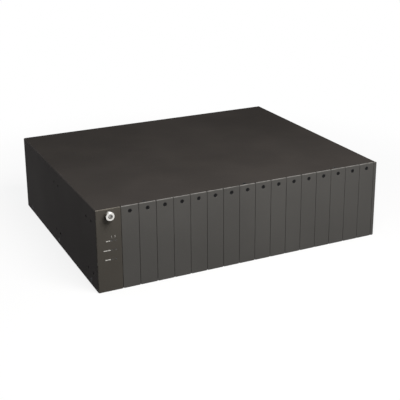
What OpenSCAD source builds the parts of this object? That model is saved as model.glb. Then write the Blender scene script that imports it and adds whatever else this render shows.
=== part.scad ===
// Media converter chassis for a 19-inch rack, in millimetres.
// Front: a control module and sixteen converter slots closed by blank plates.
// Rear: two power modules and two fans.
// The modules draw in a shop frame: X to the right seen from the front, Y to the rear from the face of
// the front plates, Z up from the underside. place() then centres the whole on the origin.

/* [Body] */
// Depth from the face of the front plates to the rear edge of the cover
body_d = 356; // [330:1:430]
// Height from the underside of the tray to the top of the cover
body_h = 117; // [108:1:142]
// Thickness of the folded sheet steel
sheet = 1.2; // [1:0.1:1.4]
// Outside radius of the two long folds of the cover
cover_bend_r = 2; // [1.5:0.1:4]
// Gap between the front plates and the front edge of the cover
cover_front_gap = 0.5; // [0.2:0.1:1]
// Height of the side flanges of the tray
tray_flange_h = 15; // [11:0.5:16.5]
// Width of an air slot in the floor
floor_slot_w = 6; // [3:0.5:10]
// Length of an air slot in the floor
floor_slot_l = 34; // [20:1:40]

/* [Ear holes] */
// Radius of the tapped holes for rack ears
ear_hole_r = 2; // [1.5:0.5:2.5]
// Distance of the first hole from the front
ear_hole_front = 20; // [16:1:30]
// Spacing of the holes from front to rear
ear_hole_step = 20; // [14:1:30]
// Spacing of the holes from bottom to top
ear_hole_rise = 75; // [60:0.5:76]

/* [Front plates] */
// Spacing of the converter slots
slot_pitch = 25; // [24.6:0.1:30]
// Width of the place of the control module
control_w = 35; // [33:0.5:45]
// Width of the fixed strip at the right end
strip_w = 5; // [4.5:0.5:12]
// Thickness of the front plates
plate_t = 2; // [1.5:0.1:3]
// Gap between neighbouring plates
plate_seam = 0.6; // [0.3:0.1:1]
// Corner radius of the plates
plate_corner_r = 1; // [0.4:0.1:2]
// Distance of the plate screws below the top edge
plate_screw_drop = 7.8; // [7:0.1:8.2]
// Width of the tongue that hooks a plate into the bottom rail
tongue_w = 14; // [8:1:20]

/* [Rails and guides] */
// Height of the rails behind the front plates
rail_h = 11; // [10:0.5:12]
// Depth of the rails
rail_d = 12; // [10:0.5:16]
// Distance of the rear edge of the card guides from the front
guide_rear_y = 135; // [125:1:136]
// Height of a guide rib
rib_h = 3; // [2:0.5:4]

/* [Backplane] */
// Distance of the front face of the backplane board from the front
backplane_y = 138; // [137:1:142]
// Thickness of the circuit boards
board_t = 1.6; // [1.2:0.2:2]
// Height of the backplane board
backplane_h = 54; // [48:1:56]
// Height of the barrel plugs above the underside
plug_z = 44; // [36:1:46]
// Outside radius of a barrel plug
plug_r = 2.75; // [2:0.25:3.5]
// Radius of the bore of a barrel plug
plug_bore_r = 1.05; // [0.8:0.05:1.25]
// Length of a barrel plug
plug_l = 9.5; // [8:0.5:12]

/* [Control module] */
// Depth of the control module's carrier
carrier_l = 118; // [90:1:122]
// Distance of the first lamp column from the left edge
lamp_x = 20.7; // [18:0.1:22]
// Spacing of the two lamp columns
lamp_step = 5.3; // [4:0.1:6]
// Distance of the first lamp row below the top edge
lamp_drop = 45; // [40:0.5:50]
// Spacing of the lamp rows
lamp_rise = 13.3; // [10:0.1:14]
// Radius of a lamp
lamp_r = 1.25; // [1:0.05:1.5]

/* [Thumbscrews] */
// Radius of the knob
knob_r = 6; // [5:0.1:6.4]
// Length of the knob
knob_l = 7.2; // [5:0.1:9]
// Number of grooves round the knob
knob_grooves = 28; // [12:1:40]

/* [Power modules] */
// Width of a power module's case
psu_w = 104; // [86:1:105]
// Distance of the case from the underside and from the top of the chassis
psu_edge = 8.5; // [8:0.1:10]
// Thickness of the case and of the sleeve round it
psu_sheet = 1; // [0.8:0.1:1.2]
// Thickness of the rear face of a module
psu_face_t = 1.5; // [1.2:0.1:2]
// Distance that the handle stands out from the face
handle_reach = 26; // [20:1:40]
// Radius of the handle's rod
handle_r = 3; // [2.5:0.1:4]
// Height of the handle between the middles of its posts
handle_h = 60; // [40:1:76]
// Tilt of the rocker to either side in degrees
rocker_tilt = 10; // [6:1:10]

/* [Fans] */
// Outside size of a fan
fan_size = 80; // [70:1:80]
// Depth of a fan
fan_d = 25; // [20:1:32]
// Spacing of a fan's screws
fan_screw_step = 71.5; // [60:0.5:71.5]
// Radius of the rotor over its blades
rotor_r = 36.5; // [28:0.5:36.8]
// Number of blades
blade_count = 7; // [5:1:9]
// Slope of the blades in degrees
blade_slope = 38; // [25:1:50]

/* [Fits] */
// Gap between sheets that lie on each other
fit_gap = 0.1; // [0.05:0.01:0.2]
// Gap round a part that slides
slide_gap = 0.5; // [0.3:0.1:0.6]
// Radial clearance of a running pin or thread
run_gap = 0.05; // [0.02:0.01:0.1]
// Gap round a screw that passes through
pass_gap = 0.15; // [0.1:0.05:0.3]

/* [Hidden] */
$fn = 48;
// Counts
slot_count = 16;
lamp_rows = 3;
lamp_columns = 2;

// How far a cut runs past a face, and how far a joined shape reaches into its neighbour
overrun = 1;
bite = 0.2;

// Overall width, and limits of the inside
body_w = control_w + slot_count*slot_pitch + strip_w;
slots_x0 = control_w - body_w/2;
inner_half = body_w/2 - sheet - fit_gap;
rail_half = inner_half - sheet - fit_gap;
under_cover = body_h - sheet - fit_gap;
cover_y0 = plate_t + cover_front_gap;
rear_in_y = body_d - sheet;

// Small steel screws: countersunk M3, and the M4 thread of the thumbscrews
m3_r = 1.5;
m3_head_r = 2.7;
m4_r = 2;
cross_w = 0.8;
cross_l = 3;
cross_deep = 0.9;
plate_screw_sink = 0.3;
plate_screw_l = 6;
side_screw_l = 4;
top_screw_l = 4.2;

// Ear holes and the screws of the cover
ear_collar_r = 3.2;
ear_collar_l = 1.8;
side_screw_z = 7;
side_screw_end = 30;
top_screw_x = 150;
top_screw_y = 6;

// Floor air slots: rows from front to rear, with rounded ends
floor_slot_y0 = 24;
floor_slot_gap = 14;
floor_slot_rows = 2;
floor_slot_corner_share = 1/3;

// Flanges of the rear sheet
rear_flange = 12;
rear_floor_half = 80;

// Front plates
tongue_l = 4;
tongue_t = 1.5;
tongue_z = 5.5;
tongue_gap = 0.4;
nut_boss_r = 2.8;
nut_boss_l = 2.5;
thumb_boss_r = 3.6;
thumb_boss_l = 3;

// Card guides
rail_z = under_cover - rail_h;
guide_low_z = sheet + rail_h + sheet;
guide_high_z = rail_z - sheet;
guide_y0 = plate_t + fit_gap;
rib_end = 6;
guide_slot_w = 12;
guide_slot_l = 24;
guide_slot_y0 = 22;
guide_slot_gap = 10;
guide_slot_rows = 3;
divider_window_w = 24;
divider_window_h = 44;
divider_window_step = 38;
control_rib_inset = 5;
control_rib_x = control_rib_inset - body_w/2;

// Backplane
standoff_l = 3.4;
standoff_r = 4;
bracket_y = backplane_y + board_t + standoff_l;
backplane_z0 = 10;
backplane_end = 8;
backplane_half = inner_half - backplane_end;
standoff_end = 6;
standoff_rise = 42;
standoff_z0 = 14;
bracket_slot_w = 15;
bracket_slot_z0 = 68;
bracket_slot_top = 12;
plug_block_w = 12;
plug_block_d = 8;
plug_block_h = 10;
socket_d = 12;
socket_h = 9;
socket_wall = 1.7;
socket_deep = 9;
tab_gap = 0.3;
tab_seat = 8;
psu_tab_w = 40;
socket_w = psu_tab_w + 2*socket_wall + 2*tab_gap;

// Control module
module_gap = 0.8;
carrier_x1 = slots_x0 - sheet/2 - module_gap;
carrier_lip = 4;
carrier_lip_end = 6;
carrier_post_l = 2.4;
carrier_post_r = 2.5;
carrier_post_end = 18;
lamp_board_y0 = 12;
lamp_board_edge = 10;
lamp_block_y0 = 4;
lamp_block_h = 5;
lamp_block_end = 2;
lamp_l = 9;
control_tab_h = 26;
lamp_board_x = carrier_x1 - sheet - carrier_post_l;
carrier_posts = [for (y = [lamp_board_y0 + carrier_post_end, carrier_l - carrier_post_end],
    z = [guide_low_z + carrier_post_end, guide_high_z - carrier_post_end]) [y, z]];
ferrule_r = 3.4;
ferrule_flange_r = 4.8;
ferrule_flange_t = 1;
thumb_x = control_w/2 - body_w/2;
thumb_z = body_h - plate_screw_drop;

// Thumbscrews
knob_gap = 1.3;
knob_edge = 0.6;
knob_groove_r = 0.35;
knob_dish_r = 3.1;
knob_dish_deep = 1;
knob_cross_l = 4.6;
knob_cross_w = 1.1;
knob_cross_deep = 1.6;
thumb_reach = 6.5;
knob_proud = knob_gap + knob_l;

// Power modules
psu_margin = 6;
psu_face_side = 12;
psu_face_lip = 4;
psu_face_rise = 2;
psu_face_corner_r = 2;
psu_x = body_w/2 - psu_margin - psu_face_side - psu_w/2;
psu_h = body_h - 2*psu_edge;
psu_y0 = 156;
face_gap = 0.2;
face_y0 = body_d + face_gap;
face_y1 = face_y0 + psu_face_t;
lid_flange_h = 8;
psu_board_lift = 8;
psu_board_end = 4;
psu_post_r = 3;
psu_post_end = 9;
psu_window_rise = 3;
psu_board_z = psu_edge + psu_sheet + psu_board_lift;
sleeve_y0 = 160;
sleeve_half = psu_w/2 + slide_gap + psu_sheet;
psu_mid_z = body_h/2;
psu_thumb_out = 6.5;
psu_thumb_rise = 34;
psu_thumb_x = -psu_w/2 - psu_thumb_out;
psu_thumb_z = psu_mid_z + psu_thumb_rise;
lid_vent_w = 60;
lid_vent_l = 4;
lid_vent_step = 9;
lid_vent_rows = 12;
lid_vent_y0 = 40;
handle_end = 11;
handle_x = psu_w/2 - handle_end;
handle_bend_r = 8;
handle_stud_r = 2;
handle_foot_r = 5;
handle_foot_t = 1;

// Power entry: flange, body, inlet cavity with three pins, and rocker pocket
entry_end = 24;
entry_x = entry_end - psu_w/2;
entry_w = 32;
entry_h = 48;
entry_flange_t = 2;
entry_body_w = 29.6;
entry_body_h = 45;
entry_body_d = 22;
inlet_drop = 9.5;
inlet_w = 24.4;
inlet_h = 16.6;
inlet_deep = 17;
inlet_chamfer = 4;
pin_w = 2;
pin_h = 4;
pin_l = 15;
pin_step = 7;
pin_shift = 2;
pocket_rise = 13;
pocket_w = 21.2;
pocket_h = 13.2;
pocket_deep = 11;
rocker_half = 9.8;
rocker_h = 12.4;
rocker_edge = 4.5;
rocker_mid = 2.8;
rocker_root = 3;
rocker_root_half = 6;
rocker_pin_r = 1.5;
rocker_pin_out = 0.9;
rocker_pin_l = 0.7;
rocker_z = psu_mid_z + pocket_rise;
rocker_y = face_y1 + entry_flange_t - rocker_mid;

// Air slots of a module's face, between the power entry and the handle
face_vent_margin = 6;
face_vent_x0 = entry_x + entry_w/2 + face_vent_margin;
face_vent_x1 = handle_x - handle_foot_r - face_vent_margin;
face_vent_h = 4;
face_vent_step = 9;
face_vent_rows = 7;

// Parts on a power module's board
transformer = [40, 38, 34];
transformer_y = 70;
capacitor_r = 9;
capacitor_h = 30;
capacitor_step = 22;
capacitor_y = 30;
sink_t = 3;
sink_l = 60;
sink_h = 44;
sink_end = 14;
sink_y = 112;

// Fans
fan_gap = 4;
fan_x = fan_size/2 + fan_gap/2;
fan_z = body_h/2;
fan_corner_r = 4;
fan_flange_t = 4;
fan_wall = 1.4;
fan_hole_r = 2.2;
fan_tip_gap = 1.5;
fan_bore_r = rotor_r + fan_tip_gap;
fan_hub_r = 18;
fan_hub_t = 3.5;
fan_strut_w = 4;
bearing_r = 4;
bearing_l = 12;
shaft_r = 1.5;
rotor_hub_r = 17;
rotor_wall = 1.5;
rotor_d = 18;
rotor_back = 5;
blade_t = 1.4;
blade_arc_r = 34;
guard_wire_r = 0.8;
guard_sink = 0.4;
guard_ring_r0 = 10;
guard_ring_step = 7;
guard_rings = 5;
guard_loop_r = 3;
fan_screw_r = 2;
fan_screw_head_r = 3.7;
fan_screw_head_t = 2;
fan_screw_l = 10;

// The whole is centred from the knob's face to the handles
rear_proud = face_gap + psu_face_t + handle_reach;
front_y = knob_proud - (knob_proud + body_d + rear_proud)/2;

function slot_x(i) = slots_x0 + i*slot_pitch + slot_pitch/2;
function two_digits(i) = i < 10 ? str("0", i) : str(i);
function blank_name(i) = str("slot_blank_", two_digits(i));
function psu_side(n) = n == 1 ? -1 : 1;

// Placing helpers: the child's +Z points out of the front, the rear, or one side
module place() { translate([0, front_y, 0]) children(); }
module out_front(at) { translate(at) rotate([90, 0, 0]) children(); }
module out_rear(at) { translate(at) rotate([-90, 0, 0]) children(); }
module out_side(side, at) { translate(at) rotate([0, side*90, 0]) children(); }

// A box from its lowest to its highest corner
module block(low, high) { translate(low) cube(high - low); }

// A flat outline with rounded corners, from its lower left corner
module rounded_rect(w, h, r) {
    translate([r, 0]) square([w - 2*r, h]);
    translate([0, r]) square([w, h - 2*r]);
    for (x = [r, w - r], y = [r, h - r]) translate([x, y]) circle(r);
}

// The cover's section seen from the front: two rounded corners at the top
module arch(w, h, r) {
    translate([-w/2, 0]) square([w, h - r]);
    translate([r - w/2, 0]) square([w - 2*r, h]);
    for (x = [r - w/2, w/2 - r]) translate([x, h - r]) circle(r);
}

// An upright plate with rounded corners: left edge, width, underside, height, front face, thickness
module upright(x0, w, z0, h, y0, t, r) {
    translate([x0, y0 + t, z0]) rotate([90, 0, 0]) linear_extrude(t) rounded_rect(w, h, r);
}

// A cross recess cut into a face at z = 0
module cross_cut(l, w, deep) {
    for (turn = [0, 90]) rotate([0, 0, turn])
        translate([-l/2, -w/2, -deep]) cube([l, w, deep + overrun]);
}

// A countersunk screw, head upwards with its face at z = 0; in sheet, its cone ends with the sheet
module csk_screw(l, cone_h = m3_head_r - m3_r) {
    difference() {
        union() {
            translate([0, 0, -cone_h]) cylinder(h = cone_h, r1 = m3_r, r2 = m3_head_r);
            translate([0, 0, -l]) cylinder(h = l, r = m3_r);
        }
        cross_cut(cross_l, cross_w, cross_deep);
    }
}

// The countersunk hole for it, with the screw's face a little below the surface
module csk_hole(sink, deep, cone_h = m3_head_r - m3_r) {
    flare = (m3_head_r - m3_r)*(cone_h + sink + overrun)/cone_h;
    translate([0, 0, -cone_h - sink])
        cylinder(h = cone_h + sink + overrun, r1 = m3_r + pass_gap, r2 = m3_r + pass_gap + flare);
    translate([0, 0, -deep]) cylinder(h = deep, r = m3_r + pass_gap);
}

// Places that recur: ear holes, side screws, top screws, plate screws
module at_ear_holes(side) {
    for (y0 = [ear_hole_front, body_d/2 - ear_hole_step/2], y = [0, ear_hole_step], z = [-1, 1])
        out_side(side, [side*body_w/2, y0 + y, body_h/2 + z*ear_hole_rise/2]) children();
}
module at_side_screws(side, x) {
    for (y = [side_screw_end, body_d/2, body_d - side_screw_end])
        out_side(side, [side*x, y, side_screw_z]) children();
}
module at_top_screws(z) {
    for (i = [-1, 0, 1]) translate([i*top_screw_x, top_screw_y, z]) children();
}

// Body

module top_cover() color("#383432") difference() {
    union() {
        translate([0, body_d, 0]) rotate([90, 0, 0]) linear_extrude(body_d - cover_y0) difference() {
            arch(body_w, body_h, cover_bend_r);
            translate([0, -overrun])
                arch(body_w - 2*sheet, body_h - sheet + overrun, cover_bend_r - sheet);
        }
        for (side = [-1, 1]) at_ear_holes(side)
            translate([0, 0, -sheet - ear_collar_l]) cylinder(h = ear_collar_l + sheet/2, r = ear_collar_r);
    }
    for (side = [-1, 1]) {
        at_ear_holes(side) translate([0, 0, -sheet - ear_collar_l - overrun])
            cylinder(h = sheet + ear_collar_l + 2*overrun, r = ear_hole_r);
        at_side_screws(side, body_w/2) csk_hole(0, sheet + overrun, sheet);
    }
    at_top_screws(body_h) csk_hole(0, sheet + overrun, sheet);
}

module base_tray() color("#2e2d2c") difference() {
    union() {
        block([-inner_half, guide_y0, 0], [inner_half, body_d, sheet]);
        for (side = [-1, 1]) translate([side*(inner_half - sheet/2), guide_y0, 0])
            translate([-sheet/2, 0, 0]) cube([sheet, rear_in_y - fit_gap - guide_y0, tray_flange_h]);
    }
    for (side = [-1, 1]) at_side_screws(side, inner_half)
        translate([0, 0, -sheet - overrun]) cylinder(h = sheet + 2*overrun, r = m3_r + run_gap);
    for (i = [0 : slot_count - 1], row = [0 : floor_slot_rows - 1])
        translate([slot_x(i), floor_slot_y0 + row*(floor_slot_l + floor_slot_gap), -overrun])
            linear_extrude(sheet + 2*overrun) translate([-floor_slot_w/2, 0])
                rounded_rect(floor_slot_w, floor_slot_l, floor_slot_corner_share*floor_slot_w);
}

// An outline seen from the rear, drawn d deep to the front from the rear edge of the cover
module under_arch(d) { translate([0, body_d, 0]) rotate([90, 0, 0]) linear_extrude(d) children(); }

// The rear sheet, with flanges that stiffen it at the top, the sides and the middle of the floor
module rear_panel() color("#333130") difference() {
    union() {
        under_arch(sheet) difference() {
            arch(2*inner_half, under_cover, cover_bend_r - sheet);
            translate([-body_w/2, -overrun]) square([body_w, sheet + overrun]);
        }
        under_arch(sheet + rear_flange) difference() {
            arch(2*inner_half, under_cover, cover_bend_r - sheet);
            translate([0, -overrun]) arch(2*rail_half, under_cover - sheet + overrun, cover_bend_r - sheet);
            translate([-body_w/2, -overrun]) square([body_w, tray_flange_h + slide_gap + overrun]);
        }
        block([-rear_floor_half, rear_in_y - rear_flange, sheet],
            [rear_floor_half, rear_in_y + bite, 2*sheet]);
        for (n = [1, 2]) at_psu(n) out_rear([psu_thumb_x, rear_in_y - thumb_boss_l, psu_thumb_z])
            cylinder(h = thumb_boss_l + bite, r = thumb_boss_r);
    }
    for (n = [1, 2]) at_psu(n) {
        block([-psu_w/2 - slide_gap, rear_in_y - overrun, psu_edge - slide_gap],
            [psu_w/2 + slide_gap, body_d + overrun, psu_edge + psu_h + slide_gap]);
        out_rear([psu_thumb_x, rear_in_y - thumb_boss_l - overrun, psu_thumb_z])
            cylinder(h = thumb_boss_l + sheet + 2*overrun, r = m4_r + run_gap);
    }
    for (side = [-1, 1]) {
        out_rear([side*fan_x, rear_in_y - overrun, fan_z]) cylinder(h = sheet + 2*overrun, r = fan_bore_r);
        at_fan_screws(side, rear_in_y - overrun) cylinder(h = sheet + 2*overrun, r = fan_hole_r);
    }
}

// Front frame

module front_top_rail() color("#2e2d2c") difference() {
    union() {
        block([-rail_half, plate_t, rail_z], [rail_half, plate_t + sheet, under_cover]);
        block([-rail_half, plate_t, rail_z], [rail_half, plate_t + rail_d, rail_z + sheet]);
        block([-rail_half, plate_t, under_cover - sheet], [rail_half, plate_t + rail_d, under_cover]);
        for (i = [0 : slot_count - 1]) out_rear([slot_x(i), plate_t + bite, thumb_z])
            cylinder(h = sheet - bite + nut_boss_l, r = nut_boss_r);
        out_rear([thumb_x, plate_t + bite, thumb_z])
            cylinder(h = sheet - bite + thumb_boss_l, r = thumb_boss_r);
    }
    for (i = [0 : slot_count - 1]) out_rear([slot_x(i), plate_t - overrun, thumb_z])
        cylinder(h = sheet + nut_boss_l + 2*overrun, r = m3_r + run_gap);
    out_rear([thumb_x, plate_t - overrun, thumb_z])
        cylinder(h = sheet + thumb_boss_l + 2*overrun, r = m4_r + run_gap);
    at_top_screws(under_cover) translate([0, 0, -sheet - overrun])
        cylinder(h = sheet + 2*overrun, r = m3_r + run_gap);
}

module front_bottom_rail() color("#2e2d2c") difference() {
    union() {
        block([-rail_half, plate_t, sheet], [rail_half, plate_t + sheet, sheet + rail_h]);
        block([-rail_half, plate_t, sheet], [rail_half, plate_t + rail_d, 2*sheet]);
        block([-rail_half, plate_t, rail_h], [rail_half, plate_t + rail_d, sheet + rail_h]);
    }
    for (x = concat([thumb_x], [for (i = [0 : slot_count - 1]) slot_x(i)]))
        block([x - tongue_w/2 - tongue_gap, plate_t - overrun, tongue_z - tongue_gap],
            [x + tongue_w/2 + tongue_gap, plate_t + sheet + overrun, tongue_z + tongue_t + tongue_gap]);
}

module front_edge_strip() color("#4c4b49")
    upright(body_w/2 - strip_w + plate_seam/2, strip_w - plate_seam/2, 0, body_h, 0, plate_t, plate_corner_r);

// A front plate with the tongue behind it that hooks into the bottom rail
module front_plate(x0, w) {
    upright(x0, w, 0, body_h, 0, plate_t, plate_corner_r);
    block([x0 + w/2 - tongue_w/2, plate_t - bite, tongue_z],
        [x0 + w/2 + tongue_w/2, plate_t + tongue_l, tongue_z + tongue_t]);
}

module slot_blank(i) color("#4c4b49") difference() {
    front_plate(slots_x0 + i*slot_pitch + plate_seam/2, slot_pitch - plate_seam);
    out_front([slot_x(i), 0, thumb_z]) csk_hole(plate_screw_sink, plate_t + overrun);
}

module blank_screws() color("#1c1c1c")
    for (i = [0 : slot_count - 1]) out_front([slot_x(i), plate_screw_sink, thumb_z]) csk_screw(plate_screw_l);

module cover_screws() color("#1c1c1c") {
    for (side = [-1, 1]) at_side_screws(side, body_w/2) csk_screw(side_screw_l, sheet);
    at_top_screws(body_h) csk_screw(top_screw_l, sheet);
}

// Card guides

module guide_slots(z) {
    for (i = [0 : slot_count - 1], row = [0 : guide_slot_rows - 1])
        translate([slot_x(i), guide_slot_y0 + row*(guide_slot_l + guide_slot_gap), z - overrun])
            translate([-guide_slot_w/2, 0, 0]) cube([guide_slot_w, guide_slot_l, sheet + 2*overrun]);
}
module guide_ribs(z0, z1) {
    for (x = concat([control_rib_x], [for (i = [1 : slot_count]) slots_x0 + i*slot_pitch]))
        block([x - sheet/2, rib_end, z0], [x + sheet/2, guide_rear_y - rib_end, z1]);
}

module card_guide_bottom() color("#9a9c9e") {
    difference() {
        block([-rail_half, guide_y0, guide_low_z - sheet], [rail_half, guide_rear_y, guide_low_z]);
        guide_slots(guide_low_z - sheet);
    }
    block([-rail_half, guide_rear_y - sheet, sheet], [rail_half, guide_rear_y, guide_low_z - sheet + bite]);
    guide_ribs(guide_low_z - bite, guide_low_z + rib_h);
}

module card_guide_top() color("#9a9c9e") {
    difference() {
        block([-rail_half, guide_y0, guide_high_z], [rail_half, guide_rear_y, guide_high_z + sheet]);
        guide_slots(guide_high_z);
    }
    block([-rail_half, guide_rear_y - sheet, guide_high_z + sheet - bite],
        [rail_half, guide_rear_y, under_cover]);
    guide_ribs(guide_high_z - rib_h, guide_high_z + bite);
}

module bay_divider() color("#9a9c9e") difference() {
    block([slots_x0 - sheet/2, guide_y0, guide_low_z], [slots_x0 + sheet/2, guide_rear_y, guide_high_z]);
    for (i = [-1, 0, 1]) translate([slots_x0, guide_rear_y/2 + i*divider_window_step, body_h/2])
        block([-sheet, -divider_window_w/2, -divider_window_h/2],
            [sheet, divider_window_w/2, divider_window_h/2]);
}

// Backplane

module at_standoffs(y) {
    for (i = [-1, 0, 1], z = [standoff_z0, standoff_z0 + standoff_rise])
        translate([i*(backplane_half - standoff_end), y, z]) children();
}

module backplane_bracket() color("#9a9c9e") difference() {
    union() {
        block([-rail_half, bracket_y, sheet], [rail_half, bracket_y + sheet, under_cover]);
        block([-rail_half, guide_rear_y, sheet], [rail_half, bracket_y + bite, 2*sheet]);
        block([-rail_half, guide_rear_y, under_cover - sheet], [rail_half, bracket_y + bite, under_cover]);
        at_standoffs(bracket_y - standoff_l) rotate([-90, 0, 0])
            cylinder(h = standoff_l + bite, r = standoff_r);
    }
    at_standoffs(bracket_y - standoff_l - overrun) rotate([-90, 0, 0])
        cylinder(h = standoff_l + sheet + 2*overrun, r = m3_r + run_gap);
    for (n = [1, 2]) at_psu(n) translate([0, 0, psu_board_z + board_t/2])
        block([-socket_w/2 - slide_gap, bracket_y - overrun, -socket_h/2 - slide_gap],
            [socket_w/2 + slide_gap, bracket_y + sheet + overrun, socket_h/2 + slide_gap]);
    for (i = [0 : slot_count - 1])
        block([slot_x(i) - bracket_slot_w/2, bracket_y - overrun, bracket_slot_z0],
            [slot_x(i) + bracket_slot_w/2, bracket_y + sheet + overrun, body_h - bracket_slot_top]);
}

module backplane_board() color("#1f5a36") difference() {
    block([-backplane_half, backplane_y, backplane_z0],
        [backplane_half, backplane_y + board_t, backplane_z0 + backplane_h]);
    at_standoffs(backplane_y - overrun) rotate([-90, 0, 0])
        cylinder(h = board_t + 2*overrun, r = m3_r + pass_gap);
}

module backplane_screws() color("#b9bcc0")
    at_standoffs(backplane_y - (m3_head_r - m3_r)) rotate([90, 0, 0]) pan_screw(plate_screw_l);

// A flat-headed screw whose head stands on its seat, shank down
module pan_screw(l) {
    head_t = m3_head_r - m3_r;
    difference() {
        union() {
            translate([0, 0, -head_t]) cylinder(h = head_t, r = m3_head_r);
            translate([0, 0, -l]) cylinder(h = l, r = m3_r);
        }
        cross_cut(cross_l, cross_w, cross_deep);
    }
}

module slot_power_plugs() color("#1b1b1b")
    for (i = [0 : slot_count - 1]) difference() {
        union() {
            block([slot_x(i) - plug_block_w/2, backplane_y - plug_block_d, plug_z - plug_block_h/2],
                [slot_x(i) + plug_block_w/2, backplane_y, plug_z + plug_block_h/2]);
            out_front([slot_x(i), backplane_y - plug_block_d + bite, plug_z])
                cylinder(h = plug_l + bite, r = plug_r);
        }
        out_front([slot_x(i), backplane_y - plug_block_d, plug_z])
            cylinder(h = plug_l + overrun, r = plug_bore_r);
    }

module backplane_sockets() color("#1b1b1b") {
    for (n = [1, 2]) at_psu(n) translate([0, backplane_y + board_t, psu_board_z + board_t/2]) difference() {
        block([-socket_w/2, 0, -socket_h/2], [socket_w/2, socket_d, socket_h/2]);
        block([-psu_tab_w/2 - tab_gap, socket_d - socket_deep, -board_t/2 - tab_gap],
            [psu_tab_w/2 + tab_gap, socket_d + overrun, board_t/2 + tab_gap]);
    }
    translate([lamp_board_x - board_t/2, backplane_y, plug_z]) difference() {
        block([-board_t/2 - tab_gap - socket_wall, -socket_d, -control_tab_h/2 - tab_gap - socket_wall],
            [board_t/2 + tab_gap + socket_wall, 0, control_tab_h/2 + tab_gap + socket_wall]);
        block([-board_t/2 - tab_gap, -socket_d - overrun, -control_tab_h/2 - tab_gap],
            [board_t/2 + tab_gap, socket_deep - socket_d, control_tab_h/2 + tab_gap]);
    }
}

// Control module

module at_lamps(y) {
    for (c = [0 : lamp_columns - 1], r = [0 : lamp_rows - 1])
        out_front([lamp_x + c*lamp_step - body_w/2, y, body_h - lamp_drop - r*lamp_rise]) children();
}

module control_panel() color("#454341") difference() {
    front_plate(-body_w/2, control_w - plate_seam/2);
    out_front([thumb_x, plate_t, thumb_z]) translate([0, 0, -overrun])
        cylinder(h = plate_t + 2*overrun, r = ferrule_r + run_gap);
    at_lamps(plate_t) translate([0, 0, -overrun]) cylinder(h = plate_t + 2*overrun, r = lamp_r + pass_gap);
}

module control_carrier() color("#9a9c9e") {
    z0 = guide_low_z + slide_gap;
    z1 = guide_high_z - slide_gap;
    flange_x0 = control_rib_x + sheet/2 + slide_gap;
    block([carrier_x1 - sheet, plate_t, z0], [carrier_x1, carrier_l, z1]);
    block([flange_x0, plate_t, z0], [carrier_x1, carrier_l, z0 + sheet]);
    block([flange_x0, plate_t, z1 - sheet], [carrier_x1, carrier_l, z1]);
    block([carrier_x1 - sheet - carrier_lip, plate_t, z0 + carrier_lip_end],
        [carrier_x1, plate_t + sheet, z1 - carrier_lip_end]);
    for (at = carrier_posts) out_side(-1, [carrier_x1 - bite, at[0], at[1]])
        cylinder(h = sheet - bite + carrier_post_l, r = carrier_post_r);
}

module led_board() color("#1f5a36") difference() {
    union() {
        block([lamp_board_x - board_t, lamp_board_y0, guide_low_z + lamp_board_edge],
            [lamp_board_x, carrier_l, guide_high_z - lamp_board_edge]);
        block([lamp_board_x - board_t, carrier_l - bite, plug_z - control_tab_h/2],
            [lamp_board_x, backplane_y - socket_d + tab_seat, plug_z + control_tab_h/2]);
        for (r = [0 : lamp_rows - 1]) {
            z = body_h - lamp_drop - r*lamp_rise;
            block([lamp_x - body_w/2 - lamp_block_end, lamp_block_y0, z - lamp_block_h/2],
                [lamp_board_x - board_t + bite, lamp_board_y0 + lamp_block_end, z + lamp_block_h/2]);
        }
    }
    at_lamps(lamp_l + fit_gap) cylinder(h = lamp_l + overrun, r = lamp_r + run_gap);
}

module status_leds() color("#5b5c50") at_lamps(lamp_l) cylinder(h = lamp_l, r = lamp_r);

module thumbscrew_ferrule() color("#c9ccd0") out_front([thumb_x, plate_t, thumb_z]) difference() {
    union() {
        cylinder(h = plate_t + bite, r = ferrule_r);
        translate([0, 0, plate_t]) cylinder(h = ferrule_flange_t, r = ferrule_flange_r);
    }
    translate([0, 0, -overrun]) cylinder(h = plate_t + ferrule_flange_t + 2*overrun, r = m4_r + run_gap);
}

// A captive thumbscrew: grooved knob with a dished face, thread below; z = 0 is the panel's face
module thumbscrew(gap) {
    top = gap + knob_l;
    difference() {
        rotate_extrude() polygon([[0, -thumb_reach], [m4_r, -thumb_reach], [m4_r, gap],
            [knob_r - knob_edge, gap], [knob_r, gap + knob_edge], [knob_r, top - knob_edge],
            [knob_r - knob_edge, top], [0, top]]);
        for (i = [1 : knob_grooves]) rotate([0, 0, 360*i/knob_grooves]) translate([knob_r, 0, gap - overrun])
            cylinder(h = knob_l + 2*overrun, r = knob_groove_r);
        translate([0, 0, top - knob_dish_deep]) cylinder(h = knob_dish_deep + overrun, r = knob_dish_r);
        translate([0, 0, top - knob_dish_deep]) cross_cut(knob_cross_l, knob_cross_w, knob_cross_deep);
    }
}

module front_thumbscrew() color("#d5d7da") out_front([thumb_x, 0, thumb_z]) thumbscrew(knob_gap);

// Power modules, drawn about X = 0 and moved to their bays by at_psu()

module at_psu(n) { translate([psu_side(n)*psu_x, 0, 0]) children(); }

module psu_face_cuts() {
    block([entry_x - entry_body_w/2 - run_gap, face_y0 - overrun, psu_mid_z - entry_body_h/2 - run_gap],
        [entry_x + entry_body_w/2 + run_gap, face_y1 + overrun, psu_mid_z + entry_body_h/2 + run_gap]);
    for (i = [0 : face_vent_rows - 1])
        translate([0, 0, psu_mid_z + (i - (face_vent_rows - 1)/2)*face_vent_step])
            block([face_vent_x0, face_y0 - overrun, -face_vent_h/2],
                [face_vent_x1, face_y1 + overrun, face_vent_h/2]);
    for (side = [-1, 1]) out_rear([handle_x, face_y0 - overrun, psu_mid_z + side*handle_h/2])
        cylinder(h = psu_face_t + 2*overrun, r = handle_stud_r + run_gap);
    out_rear([psu_thumb_x, face_y0 - overrun, psu_thumb_z])
        cylinder(h = psu_face_t + 2*overrun, r = m4_r + run_gap);
}

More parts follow.
